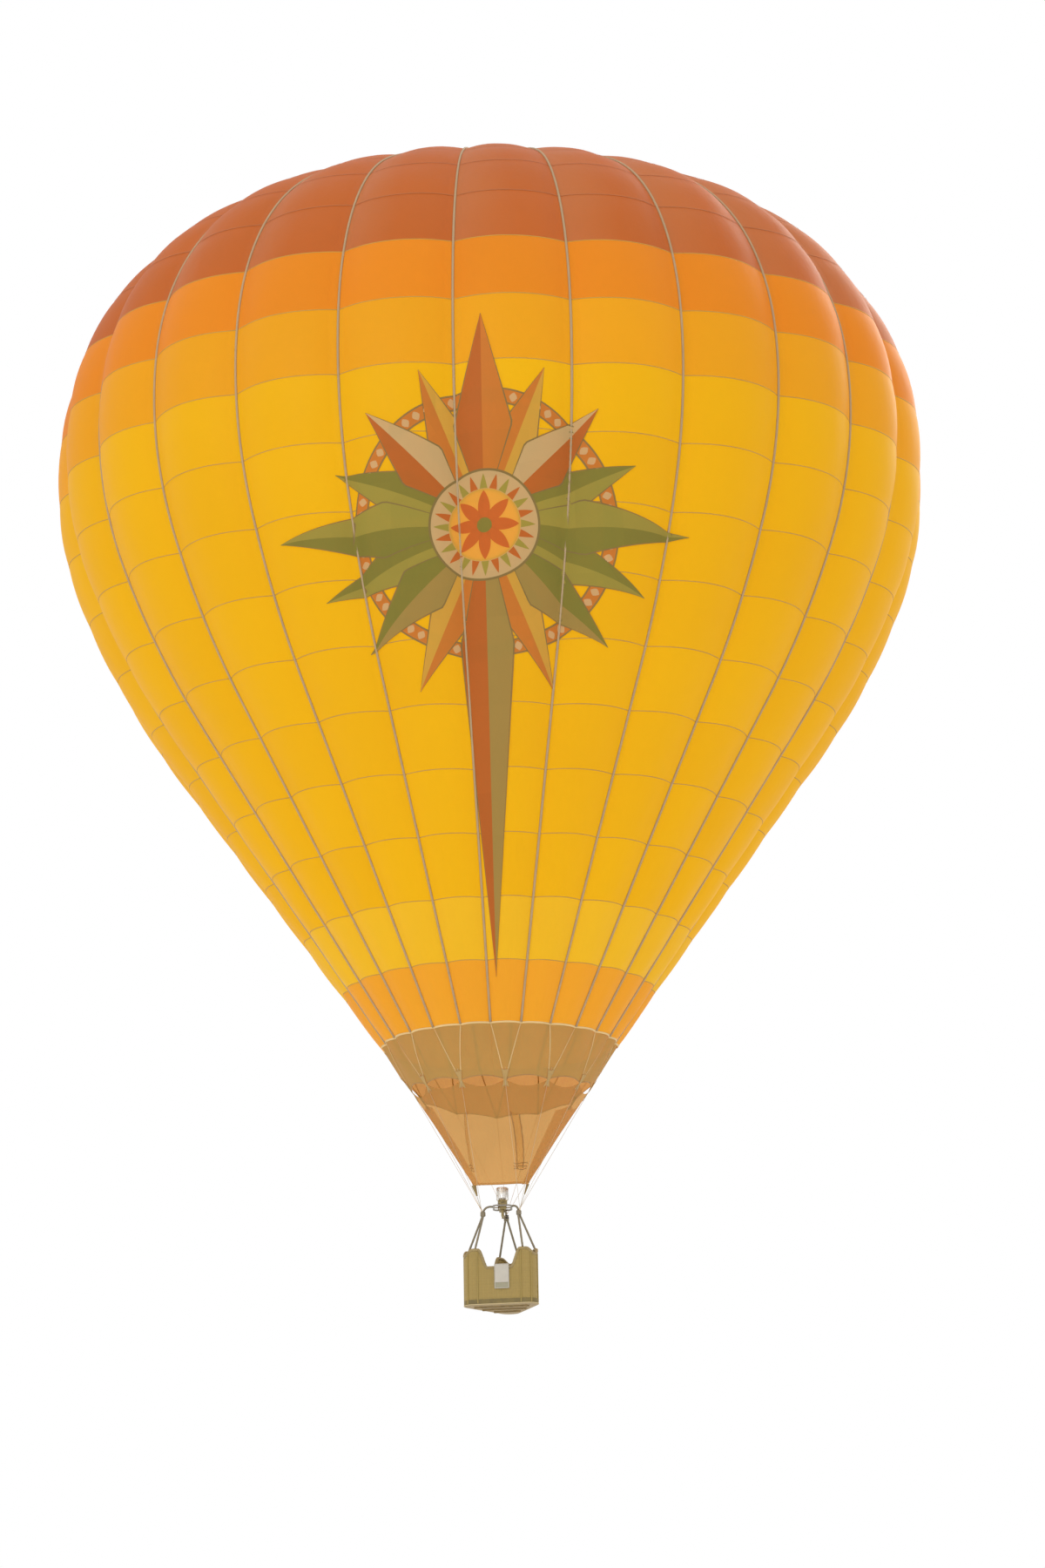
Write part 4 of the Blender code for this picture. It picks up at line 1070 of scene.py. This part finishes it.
def build_scoop():
    cloth = throat_cloth("scoop_cloth", THROAT, THROAT_GLOW, 0.36)
    for node, first, last in SCOOP_PANELS:

        def place(u, v, first=first, last=last):
            return scoop_cloth_point(mix(first, last, u), (1 - v) * SCOOP_HEM)

        def chart(u, v, first=first, last=last):
            return mix(first, last, u) / GORE, v

        panel = grid_sheet("cloth_" + node, round((last - first) * 0.8), 30, place, chart)
        dress(panel, cloth, "throat_cloth", node)

    def hem_place(u, v):
        return scoop_cloth_point(mix(*SCOOP_EDGES, u), SCOOP_HEM - 0.008 + 0.016 * v, 0.004)

    hem = thicken(grid_sheet("scoop_hem", 200, 1, hem_place), 0.004)
    dress(hem, webbing("scoop_hem", (0.58, 0.27, 0.06)), "throat_cloth")
    build_scoop_fittings()
    wire = metal("wire_steel", (0.62, 0.50, 0.34), 0.45, (60.0, 60.0, 60.0))
    coat_nodes(wire, *("flying_wires_" + corner for corner in WIRE_AZIMUTHS))


# Basket.
RIM_HIGH, RIM_LOW, RIM_SLOPE, RIM_RADIUS, RIM_DIP = 1.31, 0.90, 0.17, 0.035, 0.13
CORNER_CENTRE, CORNER_ROUND, CORNER_FLAT, WICKER = 0.70, 0.22, 0.12, 0.035
SIDE_LENGTH = CORNER_CENTRE * math.sqrt(3) - 2 * CORNER_FLAT
RUNNER_TALL, FLOOR_THICK = 0.040, 0.025
WALL_FOOT = RUNNER_TALL + FLOOR_THICK + 2 * GAP
TANK_RADIUS, TANK_TALL, TANK_STRAPS = 0.165, 0.86, (0.24, 0.58)
LACE_TURN, LACE_RADIUS = 8, 0.0032
POST_RADIUS, FOOT_CORD_RADIUS = 0.013, 0.009


def corner_line(corner, outset, steps):
    """Plan points of a corner: a short flat, its arc and a flat, with the arc's turn at each, in degrees."""
    azimuth = CORNER_AZIMUTHS[corner]
    centre = direction(azimuth) * CORNER_CENTRE
    reach = CORNER_ROUND + outset
    line = [(centre + direction(azimuth + turn) * reach, turn) for turn in between(-60, 60, steps)]
    start = line[0][0] - along(azimuth - 60) * CORNER_FLAT
    end = line[-1][0] + along(azimuth + 60) * CORNER_FLAT
    return [(start, -60), *line, (end, 60)]


def corner_level(turn):
    return RIM_HIGH - RIM_DIP * (1 + math.cos(math.pi * turn / 60)) / 2


def side_level(distance):
    """Height of the rim's top along a side, with eased slopes from the corners down to the gap between them."""
    from_corner = min(distance, SIDE_LENGTH - distance)
    share = clamp((from_corner - 0.015) / (RIM_SLOPE + 0.03))
    return mix(RIM_HIGH, RIM_LOW, share * share * (3 - 2 * share))


def rim_path(outset, lower, corner_steps=16, side_steps=40):
    """The rim's line all the way round, at an outset from the wall's outer face and a depth below the rim's top."""
    path = []
    for corner, side in (("left", "front"), ("right", "right"), ("back", "left")):
        line = corner_line(corner, outset, corner_steps)
        path += [over(spot, corner_level(turn) - lower) for spot, turn in line[:-1]]
        for step in range(side_steps):
            distance = SIDE_LENGTH * step / side_steps
            path.append(over(line[-1][0] + along(SIDE_AZIMUTHS[side]) * distance, side_level(distance) - lower))
    return path


def build_tank_fittings():
    """Straps, a collar and valves on each fuel tank."""
    straps, valves = [], []
    valve = [(0, 0), (0.022, 0), (0.022, 0.03), (0.014, 0.035), (0.014, 0.055), (0.030, 0.057), (0.030, 0.07),
             (0, 0.07)]
    for corner, azimuth in CORNER_AZIMUTHS.items():
        foot = over(direction(azimuth) * CORNER_CENTRE, WALL_FOOT)
        for level in TANK_STRAPS:
            band = hoop(TANK_RADIUS + 0.001, TANK_RADIUS + 0.004, 0.0, 0.045)
            straps.append(lathe(f"strap_{corner}_{level}", band, foot + Vector((0, 0, level)), 40))
        top = foot + Vector((0, 0, TANK_TALL))
        collar = hoop(0.085, 0.092, -0.02, 0.075)
        valves.append(lathe(f"collar_{corner}", collar, top - Vector((0, 0, 0.02)), 32))
        valves.append(lathe(f"valve_{corner}", valve, top, 20))
    dress(joined("tank_straps", straps), webbing("strap_webbing", (0.10, 0.09, 0.08)), "webbing")
    dress(joined("tank_valves", valves), metal("valve_brass", (0.60, 0.45, 0.20), 0.35), "tank_steel")


def build_walls():
    outer = rim_path(0.0, RIM_RADIUS)
    count = len(outer)
    reach = [0.0]
    for here, there in zip(outer, [*outer[1:], outer[0]]):
        reach.append(reach[-1] + (there - here).xy.length)

    def place(u, v):
        i = round(u * count)
        spot = outer[i % count]
        stake = STAKE_DEPTH * math.sin(math.pi * reach[i] / STAKE_WIDTH) if 0.02 < v < 0.98 else 0.0
        wall = spot - outward(spot) * (0.003 + stake)
        return Vector((wall.x, wall.y, mix(WALL_FOOT - LIFT, spot.z - 0.01, v)))

    def chart(u, v):
        i = round(u * count)
        return reach[i], v * (outer[i % count].z - WALL_FOOT + LIFT)

    walls = thicken(grid_sheet("wicker_walls", count, 24, place, chart, True), WICKER - 0.006)
    smooth(walls, 50)
    dress(walls, wickerwork("wicker", (0.43, 0.30, 0.085)), "wicker", "basket_corner_left", "basket_corner_right",
          "basket_corner_back", "basket_wall_front", "basket_wall_right", "basket_wall_left")


def lacing_path():
    """The lace's line, once round the rim roll from each point of its path to the next."""
    path = rim_path(-WICKER / 2, RIM_RADIUS, 10, 20)
    lacing = []
    for i, spot in enumerate(path):
        ahead = path[(i + 1) % len(path)]
        aim = (ahead - path[i - 1]).normalized()
        beside = aim.cross(Vector((0, 0, 1))).normalized()
        above = beside.cross(aim)
        for step in range(LACE_TURN):
            angle = 2 * math.pi * step / LACE_TURN
            out = beside * math.cos(angle) + above * math.sin(angle)
            lacing.append(spot.lerp(ahead, step / LACE_TURN) + out * (RIM_RADIUS + 0.001))
    return lacing


def cane_posts():
    posts = []
    for corner in CORNER_AZIMUTHS:
        line = corner_line(corner, 0.004, 4)
        for spot, turn in (line[0], line[2], line[4], line[-1]):
            top = corner_level(turn) - 2 * RIM_RADIUS
            path = [over(spot, mix(WALL_FOOT + 0.01, top, share)) for share in between(0, 1, 8)]
            posts.append(tube(f"post_{corner}_{turn}", path, POST_RADIUS, 10))
    return posts


def build_basket():
    build_walls()
    rim = tube("rim_roll", rim_path(-WICKER / 2, RIM_RADIUS), RIM_RADIUS, 14, closed=True)
    dress(rim, leather("hide", (0.34, 0.25, 0.10)), "hide", "basket_rim")
    lacing = tube("rim_lacing", lacing_path(), LACE_RADIUS, 6, closed=True)
    dress(lacing, webbing("lace", (0.42, 0.30, 0.15)), "hide")
    build_tank_fittings()
    dress(joined("cane_posts", cane_posts()), plain("post_cane", (0.36, 0.26, 0.07), 0.6, 60.0, 0.001), "wicker")
    cord = [over(spot, RUNNER_TALL + 0.014) for spot in rim_path(0.012, 0.0, 16, 8)]
    cord = tube("foot_cord", cord, FOOT_CORD_RADIUS, 8, closed=True)
    dress(cord, webbing("foot_cord", (0.62, 0.50, 0.27)), "hide")
    coat_nodes(leather("scuff_hide", (0.20, 0.145, 0.04)), "scuff_band")
    wood = timber("basket_wood", (0.36, 0.26, 0.12))
    coat_nodes(wood, "basket_floor", "runner_front", "runner_middle", "runner_back")
    steel = metal("tank_steel", (0.55, 0.55, 0.53), 0.3, (3.0, 3.0, 60.0))
    coat_nodes(steel, *("fuel_tank_" + corner for corner in CORNER_AZIMUTHS))


# Poles and burner.
FRAME_HEIGHT, FRAME_HALF, ARM_CREST = 2.30, (0.20, 0.32), 0.03
UPRIGHT_SPREAD, SLEEVE_RADIUS, ARM_SLEEVE_RADIUS = 0.0235, 0.0225, 0.0235
# How deep a sleeve's lacing draws it in, and how close its turns lie.
SLEEVE_WAIST, SLEEVE_TURNS = 0.0016, 60
# Where the arms meet the frame, in plan.
ARM_MEETS = {"left": (-FRAME_HALF[0], -0.11), "right": (FRAME_HALF[0], -0.17), "back": (0.05, FRAME_HALF[1])}
CAN_SPACING, CAN_RADIUS, CAN_BOTTOM, CAN_TOP = 0.27, 0.125, 2.44, 2.72
COIL_RADIUS, COIL_RUNS = 0.0065, 26
GRIP_HEIGHT, GRIP_RADIUS, NUT_HEIGHT = 2.0925, 0.0145, 2.128
# Turned outlines, as radius and height.
BOOT = ((0.0, -0.052), (0.048, -0.052), (0.058, -0.040), (0.058, 0.036), (0.050, 0.050), (0.030, 0.066), (0.0, 0.066))
JET_RING = ((0.030, 0.0), (0.062, 0.0), (0.066, 0.010), (0.062, 0.020), (0.030, 0.020), (0.030, 0.0))
JACKET = ((0.0, 0.0), (0.080, 0.0), (0.086, 0.012), (0.100, 0.085), (0.112, 0.115), (0.106, 0.125), (0.0, 0.125))
GAUGE = ((0, 0), (0.030, 0), (0.032, 0.004), (0.032, 0.018), (0.028, 0.022), (0, 0.022))


def arm_path(corner):
    """The arm's arc, from the shoulder over its crest to the gimbal loop."""
    top = shoulder(corner)
    meet = at(*ARM_MEETS[corner], FRAME_HEIGHT)
    crest = over(top, FRAME_HEIGHT + ARM_CREST).lerp(meet, 0.1)
    return [top.lerp(crest, share).lerp(crest.lerp(meet, share), share) for share in between(0, 1, 14)]


def sleeve_radius(share):
    """A padded sleeve, drawn in where it is laced."""
    return SLEEVE_RADIUS + SLEEVE_WAIST * math.sin(share * SLEEVE_TURNS) ** 2


def build_poles():
    sleeves = []
    for corner, azimuth in CORNER_AZIMUTHS.items():
        run = corner_line(corner, -WICKER / 2, 5)
        for side, foot, nearby in ((-1, run[0][0], run[1][0]), (1, run[-1][0], run[-2][0])):
            low = over(foot.lerp(nearby, 0.4), RIM_HIGH)
            high = shoulder(corner) + along(azimuth) * UPRIGHT_SPREAD * side - Vector((0, 0, SOCKET_TALL / 2))
            line = [low.lerp(high, share) for share in between(0, 1, 24)]
            sleeves.append(tube(f"sleeve_{corner}_{side}", line, sleeve_radius, 12))
        arm = smooth_path(arm_path(corner), 3)
        sleeves.append(tube(f"arm_sleeve_{corner}", arm, ARM_SLEEVE_RADIUS, 12))
        sleeves.append(lathe(f"boot_{corner}", BOOT, shoulder(corner), 20))
    names = [f"upright_{corner}_{number}" for corner in CORNER_AZIMUTHS for number in (1, 2)]
    cover = plain("pole_cover", (0.24, 0.20, 0.13), 0.75, 90.0, 0.001)
    dress(joined("pole_sleeves", sleeves), cover, "pole_cover", *names)
    coat_nodes(metal("frame_steel", (0.36, 0.34, 0.30), 0.45), "burner_frame")


def coil_path(centre):
    """The vaporising coil, which runs up and down outside a can."""
    path = []
    reach = CAN_RADIUS + COIL_RADIUS
    low, high = CAN_BOTTOM + 0.055, CAN_TOP - 0.012
    for run in range(COIL_RUNS):
        shares = between(0, 1, 3)
        for share in shares[:-1] if run < COIL_RUNS - 1 else shares:
            height = mix(low, high, share) if run % 2 == 0 else mix(high, low, share)
            turn = 2 * math.pi * (run + share * 0.35) / COIL_RUNS
            path.append(at(reach * math.cos(turn), centre + reach * math.sin(turn), height))
    return path


def build_burner():
    brass = metal("burner_metal", (0.36, 0.28, 0.13), 0.5, stain=(0.16, 0.12, 0.07))
    bright = metal("can_steel", (0.86, 0.84, 0.80), 0.30, stain=(0.62, 0.54, 0.44))
    rubber = plain("burner_rubber", (0.03, 0.03, 0.03), 0.6)
    coat_nodes(brass, "burner_block")
    coat_nodes(bright, "burner_can_front", "burner_can_back")
    coils, fittings, grips = [], [], []
    for number, y in enumerate((-CAN_SPACING / 2, CAN_SPACING / 2)):
        coils.append(tube(f"coil_{number}", smooth_path(coil_path(y), 3), COIL_RADIUS, 8))
        lip = hoop(CAN_RADIUS - 0.012, CAN_RADIUS + 0.003, -0.004, 0.003)
        # List, name, outline, place, sides, axis.
        for kept, name, outline, place, sides, axis in (
            (coils, "can_lip", lip, at(0, y, CAN_TOP), 40, (0, 0, 1)),
            (coils, "jet_ring", JET_RING, at(0, y, CAN_BOTTOM + 0.045), 32, (0, 0, 1)),
            (fittings, "jacket", JACKET, at(0, y, CAN_BOTTOM - 0.125), 32, (0, 0, 1)),
            (fittings, "gauge", GAUGE, at(-0.082, y, FRAME_HEIGHT - 0.005), 24, (-1, 0, 0)),
            (fittings, "nut", plug(0.020, 0.022), at(0, y, NUT_HEIGHT), 6, (0, 0, 1)),
            (fittings, "cross_nut", plug(0.018, 0.03), at(0.075, y, FRAME_HEIGHT - 0.03), 6, (1, 0, 0)),
        ):
            kept.append(lathe(f"{name}_{number}", outline, place, sides, axis))
        grip = [at(x, y, GRIP_HEIGHT) for x in (0.06, 0.095, 0.133)]
        grips.append(tube(f"grip_{number}", grip, GRIP_RADIUS, 12))
    dress(joined("burner_coils", coils), bright, "can_steel", body="burner")
    dress(joined("burner_fittings", fittings), brass, "burner_metal", body="burner")
    dress(joined("burner_grips", grips), rubber, "burner_metal", body="burner")


# Banner.
# Size, height of the top, how tall the painted shadow over the lower part is, and the shift aside.
BANNER_SIZE, BANNER_TOP, BANNER_SHADOW_TALL, BANNER_ASIDE = (0.33, 0.55), 0.94, 0.135, 0.06
# Hems: name, first and last share across, first and last share up.
BANNER_HEMS = (
    ("left", 0, 0.05, 0, 1), ("right", 0.95, 1, 0, 1), ("top", 0.05, 0.95, 0.965, 1), ("low", 0.05, 0.95, 0, 0.03),
)


def build_banner():
    """A blank cloth banner with a hem all round, and a darker sheet over its lower part that is a painted shadow."""
    aim = direction(BASKET_TURN)
    face = aim * (CORNER_CENTRE / 2 + CORNER_ROUND - WICKER / 2 + RIM_RADIUS + GAP + 0.002)
    wide, tall = BANNER_SIZE

    def spot(u, v, proud=0.0):
        wave = 0.004 * math.sin(5 * u + 2 * v) * (1 - v) + 0.003 * math.sin(9 * v)
        flat = face + aim * (proud + wave + 0.004) + along(BASKET_TURN) * ((u - 0.5) * wide + BANNER_ASIDE)
        return over(flat, BANNER_TOP - tall + tall * v)

    banner = thicken(grid_sheet("banner_sheet", 16, 28, spot), 0.002)
    dress(banner, plain("banner_cloth", (0.54, 0.50, 0.43), 0.8), "banner_cloth", "banner")
    # Painted shadow: a darker sheet over the lower part of the banner.
    foot = grid_sheet("banner_painted_shadow", 16, 4, lambda u, v: spot(u, v * BANNER_SHADOW_TALL / tall, 0.0015))
    dress(thicken(foot, 0.0015), plain("banner_painted_shadow_cloth", (0.34, 0.315, 0.22), 0.8), "banner_cloth")
    hems = []
    for name, low_u, high_u, low_v, high_v in BANNER_HEMS:

        def place(u, v, a=low_u, b=high_u, c=low_v, d=high_v):
            return spot(mix(a, b, u), mix(c, d, v), 0.0025)

        hems.append(thicken(grid_sheet("banner_hem_" + name, 8, 14, place), 0.0015))
    dress(joined("banner_hems", hems), plain("banner_hem_cloth", (0.48, 0.44, 0.37), 0.8), "banner_cloth")


set_camera()
set_light()
set_floor()
terracotta_cloth = build_envelope()
build_tapes()
declare_low_cloths()
build_seams()
build_star()
build_crown(terracotta_cloth)
build_scoop()
build_basket()
build_poles()
build_burner()
build_banner()
